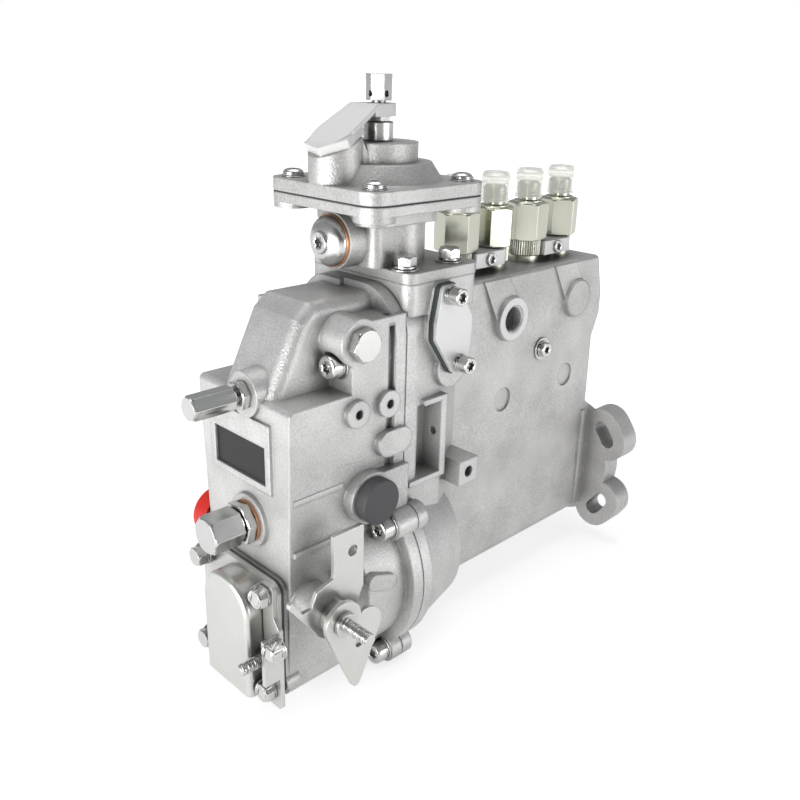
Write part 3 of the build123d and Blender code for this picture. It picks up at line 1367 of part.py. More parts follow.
save("delivery_valve_holders", *[valve_holder(x, turn) for x, turn in zip(cylinder_x, holder_turns)])
save("dust_caps", *[dust_cap(x, turn) for x, turn in zip(cylinder_x, holder_turns)])
save("holder_clamps", *[holder_clamp(x) for x in clamp_x])
save("holder_clamp_screws", *[piece for x in clamp_x for piece in clamp_screw(x)])
save("side_cover", side_cover())
save("side_cover_screws", *side_cover_screws())
save("bleed_screw", *bleed_screw())
save("side_plug", side_plug())
save("rubber_plug", rubber_plug())

save("camshaft", camshaft())
save("drive_key", key_block())
save("drive_nut", *drive_nut())
save("camshaft_bearings", bearing(drive_bearing_x, bearing_width), bearing(rear_bearing_x, rear_bearing_length))
save("oil_seal", bearing(-seal_width, seal_width - free_gap))
for number, x in enumerate(cylinder_x, 1):
    save(f"roller_tappet_{number}", *roller_tappet(x))
    save(f"plunger_spring_{number}", plunger_spring(x))
save("plunger_barrels", *[barrel(x) for x in cylinder_x])
save("delivery_valves", *[delivery_valve(x) for x in cylinder_x])
save("control_rack", rod(rack_start_x, rack_y, rack_z, X, rack_radius, rack_end_x - rack_start_x))
save("governor_hub", governor_hub())
save("flyweight_upper", flyweight(1))
save("flyweight_lower", flyweight(-1))
save("governor_sleeve", tube(sleeve_x, 0, 0, X, shaft_radius + running_fit, sleeve_radius, sleeve_length))
save("lever_shaft", *lever_shaft())
save("throttle_lever", throttle_lever())
save("fan_lever", fan_lever())
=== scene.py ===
# %% [markdown]
# # In-line injection pump with four cylinders
# The pump feeds fuel to a diesel engine. A camshaft in the cast housing lifts four
# plungers in turn, the governor on its end sets how much fuel they give, and the round
# unit on top adds fuel when the engine is boosted.
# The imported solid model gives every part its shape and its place, so nothing is modelled
# twice. This script adds what the solids lack: finishes, sockets and threads, and the
# floor, the light and the camera. The frame is in metres. Small pieces are drawn in
# millimetres, which are easier to read, and scaled once.

# %% Frame
from math import cos, pi, radians, sin

import bmesh
import bpy
from mathutils import Matrix, Vector


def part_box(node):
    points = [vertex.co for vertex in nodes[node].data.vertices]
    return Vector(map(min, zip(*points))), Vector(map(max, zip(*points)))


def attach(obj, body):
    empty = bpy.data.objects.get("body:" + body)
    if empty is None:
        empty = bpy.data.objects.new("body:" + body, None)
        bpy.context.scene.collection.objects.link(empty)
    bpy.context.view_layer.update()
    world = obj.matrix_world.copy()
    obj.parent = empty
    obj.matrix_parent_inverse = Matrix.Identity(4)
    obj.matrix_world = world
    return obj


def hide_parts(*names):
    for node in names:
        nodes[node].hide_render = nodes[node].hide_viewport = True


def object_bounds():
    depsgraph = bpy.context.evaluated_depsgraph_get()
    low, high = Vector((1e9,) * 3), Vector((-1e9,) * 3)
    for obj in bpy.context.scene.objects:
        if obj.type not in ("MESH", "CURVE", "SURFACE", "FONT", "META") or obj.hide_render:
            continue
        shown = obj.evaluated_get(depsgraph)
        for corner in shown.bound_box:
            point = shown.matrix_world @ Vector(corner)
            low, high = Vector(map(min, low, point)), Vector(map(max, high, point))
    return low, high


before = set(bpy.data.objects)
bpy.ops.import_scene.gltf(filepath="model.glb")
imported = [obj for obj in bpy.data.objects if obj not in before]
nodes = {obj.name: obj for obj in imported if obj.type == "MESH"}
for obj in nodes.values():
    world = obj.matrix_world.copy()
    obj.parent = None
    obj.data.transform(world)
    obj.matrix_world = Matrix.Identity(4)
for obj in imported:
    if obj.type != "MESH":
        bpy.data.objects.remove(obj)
cad_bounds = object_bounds()
print(len(nodes), "parts, from", cad_bounds[0], "to", cad_bounds[1])

# %% [markdown]
# ## Trees of nodes
# Materials and repeated shapes are both trees of nodes. In the editor they are dragged
# and wired by hand. In a script two small functions keep them short: one adds a node with
# its settings, the other draws the links, so that a tree reads as a list of joins.

# %% Node helpers
FLOAT, COLOR, VECTOR = "NodeSocketFloat", "NodeSocketColor", "NodeSocketVector"


def add(tree, kind, sockets=None, **settings):
    """A new node, with its settings and the fixed values of its input sockets."""
    node = tree.nodes.new(kind)
    for name, value in settings.items():
        setattr(node, name, value)
    for socket, value in (sockets or {}).items():
        node.inputs[socket].default_value = value
    return node


def wire(tree, pairs):
    """Links from output sockets to input sockets."""
    for source, target in pairs:
        tree.links.new(source, target)


# %% [markdown]
# ## Skin
# Every finish on the pump varies in the same ways: a fine grain, edges a little rounded
# and worn bright, tones that drift, dust on what faces up, and painted shade in the
# corners. Painted pictures could show them, but every part would have to be unwrapped
# first. A node group works them out from the place of each point instead, so it fits any
# part, and each material gives it its own amounts.

# %% Skin group
skin = bpy.data.node_groups.new("Skin", "ShaderNodeTree")
skin_inputs = [
    ("Color", COLOR, (0.6, 0.6, 0.6, 1)), ("Roughness", FLOAT, 0.5), ("Grain size", FLOAT, 0.0008),
    ("Grain depth", FLOAT, 0.0001), ("Edge radius", FLOAT, 0.0005), ("Edge shine", FLOAT, 0.3),
    ("Tone change", FLOAT, 0.08), ("Dust", FLOAT, 0.05), ("Crevice shade", FLOAT, 0.55)]
for label, kind, value in skin_inputs:
    skin.interface.new_socket(label, in_out="INPUT", socket_type=kind).default_value = value
for label, kind in (("Color", COLOR), ("Roughness", FLOAT), ("Normal", VECTOR)):
    skin.interface.new_socket(label, in_out="OUTPUT", socket_type=kind)
given = add(skin, "NodeGroupInput").outputs
result = add(skin, "NodeGroupOutput").inputs
surface = add(skin, "ShaderNodeNewGeometry").outputs
place = add(skin, "ShaderNodeTexCoord").outputs["Object"]
print("the skin takes", [label for label, _, _ in skin_inputs])

# %% [markdown]
# ### Grain and soft edges
# A blasted casting has a grain of about a millimetre and no knife edges. Real bevels on
# every edge would cost many faces. The bevel node bends the normal near an edge, and a
# noise under a bump node adds the grain to that same normal.

# %% Grain and soft edges
density = add(skin, "ShaderNodeMath", {0: 1.0}, operation="DIVIDE")
grain = add(skin, "ShaderNodeTexNoise", {"Detail": 2.0})
soft = add(skin, "ShaderNodeBevel", samples=6)
bump = add(skin, "ShaderNodeBump", {"Strength": 1.0})
wire(skin, [(given["Grain size"], density.inputs[1]), (density.outputs[0], grain.inputs["Scale"]),
            (place, grain.inputs["Vector"]), (grain.outputs["Fac"], bump.inputs["Height"]),
            (given["Grain depth"], bump.inputs["Distance"]), (given["Edge radius"], soft.inputs["Radius"]),
            (soft.outputs["Normal"], bump.inputs["Normal"]), (bump.outputs["Normal"], result["Normal"])])

# %% [markdown]
# ### Worn edges
# Handling polishes the edges of a casting first. The bent normal differs from the flat
# one only near an edge, so the dot product of the two is a ready mask for that polish.

# %% Worn edges
bend = add(skin, "ShaderNodeVectorMath", operation="DOT_PRODUCT")
edge_mask = add(skin, "ShaderNodeMapRange", {"From Min": 0.995, "From Max": 0.86})
edge_amount = add(skin, "ShaderNodeMath", operation="MULTIPLY")
polish = add(skin, "ShaderNodeMath", {1: -0.25}, operation="MULTIPLY_ADD")
wire(skin, [(soft.outputs["Normal"], bend.inputs[0]), (surface["Normal"], bend.inputs[1]),
            (bend.outputs["Value"], edge_mask.inputs["Value"]),
            (edge_mask.outputs["Result"], edge_amount.inputs[0]),
            (given["Edge shine"], edge_amount.inputs[1]), (edge_amount.outputs[0], polish.inputs[0]),
            (given["Roughness"], polish.inputs[2]), (polish.outputs[0], result["Roughness"])])

# %% [markdown]
# ### Tones
# Bare aluminium drifts between lighter and darker greys, in clouds of a few centimetres
# and in specks as fine as the grain. Both noises are added, centred on zero and scaled,
# and the sum multiplies the colour. The worn edges are then mixed in.

# %% Tones
worn_color = (0.92, 0.92, 0.9, 1)
clouds = add(skin, "ShaderNodeTexNoise", {"Scale": 38.0, "Detail": 4.0})
both_noises = add(skin, "ShaderNodeMath", operation="ADD")
centred = add(skin, "ShaderNodeMath", {1: 1.0}, operation="SUBTRACT")
tone = add(skin, "ShaderNodeMath", {2: 1.0}, operation="MULTIPLY_ADD")
toned = add(skin, "ShaderNodeVectorMath", operation="SCALE")
worn = add(skin, "ShaderNodeMix", data_type="RGBA")
worn.inputs["B"].default_value = worn_color
wire(skin, [(place, clouds.inputs["Vector"]), (clouds.outputs["Fac"], both_noises.inputs[0]),
            (grain.outputs["Fac"], both_noises.inputs[1]), (both_noises.outputs[0], centred.inputs[0]),
            (centred.outputs[0], tone.inputs[0]), (given["Tone change"], tone.inputs[1]),
            (given["Color"], toned.inputs[0]), (tone.outputs[0], toned.inputs["Scale"]),
            (toned.outputs["Vector"], worn.inputs["A"]), (edge_amount.outputs[0], worn.inputs["Factor"])])

# %% [markdown]
# ### Dust and painted shade in corners
# Dust settles on what faces up, so the height of the normal is its mask. Inner corners
# get painted shade: ambient occlusion measures how open each point is, and that darkens
# the colour in the last step, in place of shade from the lamps.

# %% Dust and painted shade in corners
dust_color = (0.7, 0.69, 0.66, 1)
upward = add(skin, "ShaderNodeSeparateXYZ")
dust_mask = add(skin, "ShaderNodeMapRange", {"From Min": 0.6})
dust_amount = add(skin, "ShaderNodeMath", operation="MULTIPLY")
dusty = add(skin, "ShaderNodeMix", data_type="RGBA")
dusty.inputs["B"].default_value = dust_color
# Painted shade: the colour is darkened wherever the AO node finds the surface closed in.
openness = add(skin, "ShaderNodeAmbientOcclusion", {"Distance": 0.014}, samples=4)
light_left = add(skin, "ShaderNodeMapRange", {"From Min": 0.25, "From Max": 0.85, "To Max": 1.0})
least_light = add(skin, "ShaderNodeMath", {0: 1.0}, operation="SUBTRACT")
darkened = add(skin, "ShaderNodeVectorMath", operation="SCALE")
wire(skin, [(surface["Normal"], upward.inputs[0]), (upward.outputs["Z"], dust_mask.inputs["Value"]),
            (dust_mask.outputs["Result"], dust_amount.inputs[0]), (given["Dust"], dust_amount.inputs[1]),
            (worn.outputs["Result"], dusty.inputs["A"]), (dust_amount.outputs[0], dusty.inputs["Factor"]),
            (openness.outputs["AO"], light_left.inputs["Value"]), (given["Crevice shade"], least_light.inputs[1]),
            (least_light.outputs[0], light_left.inputs["To Min"]),
            (dusty.outputs["Result"], darkened.inputs[0]), (light_left.outputs[0], darkened.inputs["Scale"]),
            (darkened.outputs["Vector"], result["Color"])])
print("skin group with", len(skin.nodes), "nodes")

# %% [markdown]
# ## Finishes
# A finish is the skin with its own amounts, feeding one shader. Each could be its own
# tree of twenty nodes. With the group, a finish is one call, and a mend to the skin
# reaches them all.

# %% Finish
def finish(name, color, roughness, metallic=0.0, grain=(0.0008, 0.00002), edge=(0.0004, 0.2), tone=0.06,
           dust=0.0, crevice_shade=0.55, shader_values=None):
    """A material. The grain is (size, depth) and the edge is (radius, shine), with lengths in metres. The
    crevice amount sets how much painted shade darkens inner corners.
    """
    material = bpy.data.materials.new(name)
    material.use_nodes = True
    tree = material.node_tree
    shader = tree.nodes["Principled BSDF"]
    shader.inputs["Metallic"].default_value = metallic
    for socket, value in (shader_values or {}).items():
        shader.inputs[socket].default_value = value
    amounts = {"Color": (*color, 1), "Roughness": roughness, "Grain size": grain[0], "Grain depth": grain[1],
               "Edge radius": edge[0], "Edge shine": edge[1], "Tone change": tone, "Dust": dust,
               "Crevice shade": crevice_shade}
    cover = add(tree, "ShaderNodeGroup", amounts, node_tree=skin)
    wire(tree, [(cover.outputs["Color"], shader.inputs["Base Color"]),
                (cover.outputs["Roughness"], shader.inputs["Roughness"]),
                (cover.outputs["Normal"], shader.inputs["Normal"])])
    return material


# %% [markdown]
# ### Castings
# The housings are cast aluminium, blasted clean. Full metal would go black where it
# mirrors nothing, and plain paint would look like plastic. A value between the two, with
# deep grain and strong clouds, gives the dull silver of a blasted face.

# %% Castings
housing_cast = finish("housing_cast", (0.66, 0.652, 0.64), roughness=0.44, metallic=0.60,
                      grain=(0.0010, 0.00026), edge=(0.0010, 0.18), tone=0.64, dust=0.04)
cover_cast = finish("cover_cast", (0.72, 0.715, 0.705), roughness=0.44, metallic=0.60,
                    grain=(0.0010, 0.00024), edge=(0.0016, 0.15), tone=0.58, dust=0.04)
print("castings:", housing_cast.name, cover_cast.name)

# %% [markdown]
# ### Metals
# Milled faces are paler than the casting round them. Screws and sheet are steel with
# bright zinc, the valve holders have yellowish zinc, and the seal plate is nearly white.
# They share one recipe and differ in colour, polish and the size of their grain.

# %% Metals
machined = finish("machined", (0.90, 0.90, 0.89), roughness=0.34, metallic=0.45,
                  grain=(0.0004, 0.000012), edge=(0.0003, 0.2))
bright_steel = finish("bright_steel", (0.78, 0.78, 0.765), roughness=0.27, metallic=1.0,
                      grain=(0.0009, 0.000015), edge=(0.0003, 0.35), tone=0.10)
zinc_sheet = finish("zinc_sheet", (0.80, 0.80, 0.765), roughness=0.30, metallic=0.9,
                    grain=(0.0012, 0.00002), edge=(0.0004, 0.4), tone=0.12)
yellow_zinc = finish("yellow_zinc", (0.74, 0.74, 0.63), roughness=0.20, metallic=1.0,
                     grain=(0.0009, 0.000006), edge=(0.0004, 0.35), tone=0.14)
seal_sheet = finish("seal_sheet", (0.96, 0.96, 0.94), roughness=0.45, metallic=0.15,
                    grain=(0.0030, 0.00004), edge=(0.0012, 0.3), tone=0.06)
copper = finish("copper", (0.72, 0.38, 0.22), roughness=0.32, metallic=1.0)
inner_steel = finish("inner_steel", (0.45, 0.45, 0.45), roughness=0.35, metallic=1.0)
print("materials so far:", len(bpy.data.materials))

# %% [markdown]
# ### Paper, rubber and plastics
# The gaskets are dark paper, the plug in the cover is grey rubber and the transit cap is
# red. The caps on the valve holders are thin clear plastic. Real glass settings would
# bend the view of the thread inside too much, so they pass light almost straight, get no
# painted corner shade, and have a faint painted glow, in place of the light that thin
# plastic picks up on a white ground.

# %% Paper, rubber and plastics
gasket = finish("gasket", (0.055, 0.075, 0.068), roughness=0.62)
name_plate = finish("name_plate", (0.022, 0.022, 0.024), roughness=0.38, metallic=0.2)
dark_rubber = finish("dark_rubber", (0.10, 0.10, 0.105), roughness=0.55, grain=(0.0012, 0.00002),
                     edge=(0.0008, 0.1))
red_plastic = finish("red_plastic", (0.75, 0.03, 0.02), roughness=0.35)
# Painted glow: a faint emission, though the cap is no lamp; the corner amount 0 leaves out the painted corner
# shade.
clear_plastic = finish("clear_plastic", (0.97, 0.97, 0.94), roughness=0.18, tone=0.0, crevice_shade=0.0,
                       shader_values={"Transmission Weight": 0.86, "IOR": 1.15, "Emission Strength": 0.10,
                                      "Emission Color": (1.0, 1.0, 0.96, 1)})
print("materials:", len(bpy.data.materials))

# %% [markdown]
# ## Finishes on the parts
# Each part of the pump is one metal or one plastic, so it takes one finish. A table from
# finish to parts is easier to check against the pump than a setting on each part. What
# it doesn't name is sealed inside and takes the inner steel.

# %% Finishes on the parts
FINISHES = {
    housing_cast: ["pump_housing", "compensator_body", "compensator_cover"],
    cover_cast: ["governor_housing", "governor_cover"],
    gasket: ["joint_gaskets", "end_cover_gasket", "compensator_diaphragm"],
    bright_steel: [
        "governor_cover_screws", "idle_stop_screw", "full_load_stop_screw", "stop_screw_jam_nuts",
        "end_cover_bolts", "compensator_cover_screws", "compensator_mount_bolts", "compensator_plug",
        "adjuster_collar", "adjuster_lock_nut", "adjuster_pin", "holder_clamp_screws",
        "side_cover_screws", "bleed_screw", "side_plug", "lever_shaft", "drive_nut", "camshaft",
        "drive_key"],
    machined: ["holder_clamps", "side_cover"],
    copper: ["copper_washers"],
    name_plate: ["data_plate"],
    zinc_sheet: ["end_cover", "cable_bracket", "throttle_lever", "fan_lever"],
    seal_sheet: ["seal_plate"],
    yellow_zinc: ["delivery_valve_holders"],
    clear_plastic: ["dust_caps"],
    red_plastic: ["transit_cap"],
    dark_rubber: ["rubber_plug", "oil_seal"],
}
finish_of = {label: material for material, labels in FINISHES.items() for label in labels}
for label, part in nodes.items():
    part.data.materials.clear()
    part.data.materials.append(finish_of.get(label, inner_steel))
print("inner parts:", sorted(set(nodes) - set(finish_of)))

# %% [markdown]
# ## Shapes from geometry nodes
# Threads, splines and rows of screws repeat one small shape by a rule. They could be
# modelled by hand, one ridge at a time. A geometry tree states the rule once, with its
# sizes as named inputs. Each tree ends with real geometry and its material, and then
# becomes a plain mesh, because only plain meshes are handed on.

# %% Geometry tree helpers
OBJECT, INT, SHAPE, PAINT = "NodeSocketObject", "NodeSocketInt", "NodeSocketGeometry", "NodeSocketMaterial"


def new_shape(name, inputs):
    """A geometry tree, its given sockets, and the socket that takes its finished geometry."""
    tree = bpy.data.node_groups.new(name, "GeometryNodeTree")
    tree.interface.new_socket("Geometry", in_out="INPUT", socket_type=SHAPE)
    for label, kind, value in inputs:
        socket = tree.interface.new_socket(label, in_out="INPUT", socket_type=kind)
        if value is not None:
            socket.default_value = value
    tree.interface.new_socket("Material", in_out="INPUT", socket_type=PAINT)
    tree.interface.new_socket("Geometry", in_out="OUTPUT", socket_type=SHAPE)
    start = add(tree, "NodeGroupInput").outputs
    realize = add(tree, "GeometryNodeRealizeInstances")
    paint = add(tree, "GeometryNodeSetMaterial")
    end = add(tree, "NodeGroupOutput")
    wire(tree, [(realize.outputs[0], paint.inputs["Geometry"]), (start["Material"], paint.inputs["Material"]),
                (paint.outputs[0], end.inputs[0])])
    return tree, start, realize.inputs[0]


# %% Mesh from a tree
def shape(tree, values, material, base=None):
    """The plain mesh that a geometry tree makes from named values and a base mesh."""
    maker = bpy.data.objects.new("maker", base or bpy.data.meshes.new("maker"))
    bpy.context.scene.collection.objects.link(maker)
    modifier = maker.modifiers.new(tree.name, "NODES")
    modifier.node_group = tree
    values = {**values, "Material": material}
    for item in tree.interface.items_tree:
        if item.in_out == "INPUT" and item.name in values:
            modifier[item.identifier] = values[item.name]
    maker.update_tag()
    bpy.context.view_layer.update()
    mesh = bpy.data.meshes.new_from_object(maker.evaluated_get(bpy.context.evaluated_depsgraph_get()))
    maker.modifiers.remove(modifier)
    bpy.data.objects.remove(maker)
    mesh.materials.clear()
    mesh.materials.append(material)
    return mesh


# %% [markdown]
# ### Copies
# A row of screws has one kind of head, tightened to any angle. The tree sets one item on
# every vertex of a small mesh, turns it to face one way, and spins each copy by its own
# random angle. The seed is fixed, so every run gives the same angles.

# %% Copies
copies, given, out = new_shape("Copies", [("Item", OBJECT, None), ("Facing", VECTOR, (0, 0, 1)),
                                          ("Turn", FLOAT, 0.0)])
item = add(copies, "GeometryNodeObjectInfo")
face_way = add(copies, "FunctionNodeAlignRotationToVector", axis="Z")
chance = add(copies, "FunctionNodeRandomValue", {"Seed": 0}, data_type="FLOAT")
chance_value = [socket for socket in chance.outputs if socket.enabled][0]
chance_limit = [socket for socket in chance.inputs if socket.enabled and socket.name == "Max"][0]
spin = add(copies, "FunctionNodeAxisAngleToRotation")
spun_way = add(copies, "FunctionNodeRotateRotation", rotation_space="LOCAL")
stand = add(copies, "GeometryNodeInstanceOnPoints")
wire(copies, [(given["Geometry"], stand.inputs["Points"]), (given["Item"], item.inputs["Object"]),
              (item.outputs["Geometry"], stand.inputs["Instance"]),
              (given["Facing"], face_way.inputs["Vector"]), (given["Turn"], chance_limit),
              (chance_value, spin.inputs["Angle"]),
              (face_way.outputs[0], spun_way.inputs[0]), (spin.outputs[0], spun_way.inputs[1]),
              (spun_way.outputs[0], stand.inputs["Rotation"]), (stand.outputs[0], out)])

# %% [markdown]
# ### Teeth
# A valve holder has a splined band, which a wrench holds while its nut is turned. Each
# ridge is a four-sided rod with one edge outwards. The tree stands the rods on a circle
# and turns each to face away from the middle.

# %% Teeth
teeth, given, out = new_shape("Teeth", [("Count", INT, 36), ("Radius", FLOAT, 0.0095),
                                        ("Ridge", FLOAT, 0.0007), ("Height", FLOAT, 0.0088)])
ring = add(teeth, "GeometryNodeMeshCircle")
ridge = add(teeth, "GeometryNodeMeshCylinder", {"Vertices": 4})
position = add(teeth, "GeometryNodeInputPosition")
outward = add(teeth, "FunctionNodeAlignRotationToVector", axis="X")
stand = add(teeth, "GeometryNodeInstanceOnPoints")
wire(teeth, [(given["Count"], ring.inputs["Vertices"]), (given["Radius"], ring.inputs["Radius"]),
             (given["Ridge"], ridge.inputs["Radius"]), (given["Height"], ridge.inputs["Depth"]),
             (position.outputs[0], outward.inputs["Vector"]), (ring.outputs[0], stand.inputs["Points"]),
             (ridge.outputs[0], stand.inputs["Instance"]), (outward.outputs[0], stand.inputs["Rotation"]),
             (stand.outputs[0], out)])

# %% [markdown]
# ### Thread
# A thread is one ridge wound round a rod. A picture of a thread would stay flat at its
# outline, so a diamond is swept along a spiral, and half of it sinks into the rod.

# %% Thread
thread, given, out = new_shape("Thread", [("Radius", FLOAT, 0.003), ("Pitch", FLOAT, 0.001),
                                          ("Length", FLOAT, 0.01), ("Ridge", FLOAT, 0.0005)])
helix = add(thread, "GeometryNodeCurveSpiral", {"Resolution": 24})
turns = add(thread, "ShaderNodeMath", operation="DIVIDE")
crest = add(thread, "GeometryNodeCurvePrimitiveCircle", {"Resolution": 4})
sweep = add(thread, "GeometryNodeCurveToMesh", {"Fill Caps": True})
wire(thread, [(given["Length"], turns.inputs[0]), (given["Pitch"], turns.inputs[1]),
              (turns.outputs[0], helix.inputs["Rotations"]), (given["Radius"], helix.inputs["Start Radius"]),
              (given["Radius"], helix.inputs["End Radius"]), (given["Length"], helix.inputs["Height"]),
              (given["Ridge"], crest.inputs["Radius"]), (helix.outputs[0], sweep.inputs["Curve"]),
              (crest.outputs[0], sweep.inputs["Profile Curve"]), (sweep.outputs[0], out)])

# %% [markdown]
# ### Split ring
# A spring washer is a bar bent into a ring with a small gap, and its ends stand a little
# apart. The same sweep makes it, with a rectangle along not quite one turn of a spiral.

# %% Split ring
split_ring, given, out = new_shape("Split ring", [("Radius", FLOAT, 0.005), ("Wall", FLOAT, 0.002),
                                                  ("Thickness", FLOAT, 0.0012), ("Offset", FLOAT, 0.0004)])
helix = add(split_ring, "GeometryNodeCurveSpiral", {"Resolution": 48, "Rotations": 0.965})
upright = add(split_ring, "GeometryNodeSetCurveNormal", mode="Z_UP")
bar = add(split_ring, "GeometryNodeCurvePrimitiveQuadrilateral")
sweep = add(split_ring, "GeometryNodeCurveToMesh", {"Fill Caps": True})
wire(split_ring, [(given["Radius"], helix.inputs["Start Radius"]),
                  (given["Radius"], helix.inputs["End Radius"]), (given["Offset"], helix.inputs["Height"]),
                  (helix.outputs[0], upright.inputs["Curve"]), (given["Wall"], bar.inputs["Width"]),
                  (given["Thickness"], bar.inputs["Height"]), (upright.outputs[0], sweep.inputs["Curve"]),
                  (bar.outputs[0], sweep.inputs["Profile Curve"]), (sweep.outputs[0], out)])
print("shape trees:", [tree.name for tree in (copies, teeth, thread, split_ring)])

# %% [markdown]
# ## Turned shapes
# Screw heads, nuts, caps and washers are turned on a lathe, some with flats milled on
# them. The spin tool could make the round ones. Here a list of radii and heights becomes
# rings of vertices, because a ring can also be cut to a hexagon or drawn as a star.

# %% Turned shapes
MM = Matrix.Scale(0.001, 4)
RING_STEPS = 48
STAR = "star"
star_mean, star_swing = 0.86, 0.14


def ring_radius(radius, angle, kind):
    """The radius of a ring at an angle: round, a six-pointed star, or cut to a hexagon."""
    if kind == [STAR]:
        return radius * (star_mean + star_swing * cos(6 * angle))
    if kind:
        return min(radius, kind[0] / cos(angle % (pi / 3) - pi / 6))
    return radius


def turned(profile, material, closed=False):
    """A mesh from (radius, height) points in millimetres, from the bottom out, up and in.

    A third value makes a ring a star, or cuts it to a hexagon of that half width.
    """
    form = bmesh.new()
    rings = []
    for radius, height, *kind in profile:
        ring = []
        for n in range(RING_STEPS):
            angle = 2 * pi * n / RING_STEPS
            out_to = ring_radius(radius, angle, kind)
            ring.append(form.verts.new((out_to * cos(angle), out_to * sin(angle), height)))
        rings.append(ring)
    pairs = list(zip(rings, rings[1:]))
    if closed:
        pairs.append((rings[-1], rings[0]))
    else:
        form.faces.new(list(reversed(rings[0])))
        form.faces.new(rings[-1])
    for below, above in pairs:
        for n in range(RING_STEPS):
            m = (n + 1) % RING_STEPS
            form.faces.new((below[n], below[m], above[m], above[n]))
    return finished_mesh(form, "turned", material)


def finished_mesh(form, name, material):
    """A mesh in metres from a form in millimetres."""
    form.transform(MM)
    mesh = bpy.data.meshes.new(name)
    form.to_mesh(mesh)
    form.free()
    mesh.materials.append(material)
    return mesh


# %% [markdown]
# ## Pieces
# A piece is one object that rides on one body of the pump. Joining many meshes keeps the
# list of objects short, and a sharp angle keeps the flats of nuts crisp while their round
# parts stay smooth. Every piece sits at the origin, with its place in its mesh, as the
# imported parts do.

# %% Pieces
SHARP = radians(16)


def joined(name, parts):
    """One mesh from (mesh, matrix) pairs, with smooth faces and sharp edges."""
    form = bmesh.new()
    paints = []
    for mesh, matrix in parts:
        paint = mesh.materials[0]
        if paint not in paints:
            paints.append(paint)
        copy = mesh.copy()
        copy.transform(matrix)
        first = len(form.faces)
        form.from_mesh(copy)
        form.faces.ensure_lookup_table()
        for face in form.faces[first:]:
            face.material_index = paints.index(paint)
            face.smooth = True
        bpy.data.meshes.remove(copy)
    whole = bpy.data.meshes.new(name)
    form.to_mesh(whole)
    form.free()
    for paint in paints:
        whole.materials.append(paint)
    whole.set_sharp_from_angle(angle=SHARP)
    return whole


def piece(name, parts, body="pump", replaced=()):
    """An object on a body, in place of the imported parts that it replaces."""
    thing = bpy.data.objects.new(name, joined(name, parts))
    bpy.context.scene.collection.objects.link(thing)
    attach(thing, body)
    if replaced:
        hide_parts(*replaced)
    print(name, len(thing.data.polygons), "faces")


# %% [markdown]
# ## Places
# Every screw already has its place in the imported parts. Typing the places again would go
# wrong at the first change of size. Instead the solids of a part are told apart by
# walking along the edges of a merged copy of its mesh, and their boxes are sorted, so
# that the order is the same in every run.

# %% Places
BACK, FRONT, UP, INWARD = (-1, 0, 0), (0, -1, 0), (0, 0, 1), (1, 0, 0)


def at(x, y, z, facing=UP, turn=0.0):
    """Places a shape at a point in millimetres, with its axis along a direction."""
    way = Vector(facing).to_track_quat("Z", "Y").to_matrix().to_4x4()
    return Matrix.Translation(Vector((x, y, z)) / 1000) @ way @ Matrix.Rotation(radians(turn), 4, "Z")


def corners(points):
    """The low and the high corner of the box round some points."""
    return (Vector([min(point[k] for point in points) for k in range(3)]),
            Vector([max(point[k] for point in points) for k in range(3)]))


def islands(label):
    """The boxes of the separate solids in one part, in metres."""
    form = bmesh.new()
    form.from_mesh(nodes[label].data)
    form.transform(nodes[label].matrix_world)
    bmesh.ops.remove_doubles(form, verts=form.verts, dist=2e-6)
    waiting = set(form.verts)
    boxes = []
    while waiting:
        stack = [waiting.pop()]
        points = []
        while stack:
            vert = stack.pop()
            points.append(vert.co.copy())
            for edge in vert.link_edges:
                other = edge.other_vert(vert)
                if other in waiting:
                    waiting.remove(other)
                    stack.append(other)
        boxes.append(corners(points))
    form.free()
    return sorted(boxes, key=lambda box: tuple(box[0]))


def in_mm(box):
    """The low corner, the middle and the high corner of a box, in millimetres."""
    low_corner, high_corner = box
    return low_corner * 1000, (low_corner + high_corner) * 500, high_corner * 1000


# %% [markdown]
# ## Screw heads
# The screws have star sockets or chamfered hexagons, mostly over a flat washer and a
# spring washer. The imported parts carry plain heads, which could each be cut by hand.
# Instead each kind of head is turned once and copied to every screw of its part, so that
# its face meets the outer end of the plain one.

# %% Washers and heads
spring_wall = 2.2
spring_offset = 0.0003


def washer_pair(flat_radius, spring_radius, flat=1.0, spring=1.4):
    """A flat washer and the spring washer on it, with their thicknesses in millimetres."""
    flat_washer = turned([(flat_radius - 0.1, 0), (flat_radius, 0.15), (flat_radius, flat - 0.15),
                          (flat_radius - 0.2, flat)], bright_steel)
    spring_washer = shape(split_ring, {
        "Radius": (spring_radius - spring_wall / 2) / 1000, "Wall": spring_wall / 1000,
        "Thickness": (spring - 0.35) / 1000, "Offset": spring_offset}, bright_steel)
    return [(flat_washer, Matrix()), (spring_washer, at(0, 0, flat + spring / 2 - 0.15))]


def star_head(radius, height, socket, base=0.0, rounding=1.0):
    """A round head with a star socket."""
    return turned([(radius - 0.2, base), (radius, base + 0.2), (radius, height - rounding),
                   (radius - rounding * 0.3, height - rounding * 0.3), (radius - rounding, height),
                   (socket + 0.35, height), (socket, height - 0.3, STAR), (socket, height - 2.6, STAR),
                   (0.2, height - 3.2)], bright_steel)


def hex_sizes(flats):
    """Half the width across the flats, and the radius of the corners."""
    return flats / 2, flats / 2 / cos(pi / 6)


def hex_head(flats, height, base=0.0):
    """A hexagon with chamfered corners and a round face on top."""
    half, corner = hex_sizes(flats)
    return turned([(half - 0.2, base), (half, base + 0.2), (corner, base + 0.2, half),
                   (corner, height - 1.0, half), (corner - 0.5, height - 0.55, half),
                   (half - 0.1, height, half), (half - 0.6, height), (half - 1.2, height),
                   (0.2, height)], bright_steel)


# %% Heads on every screw
shortest_screw = 0.0038
any_turn = 2 * pi


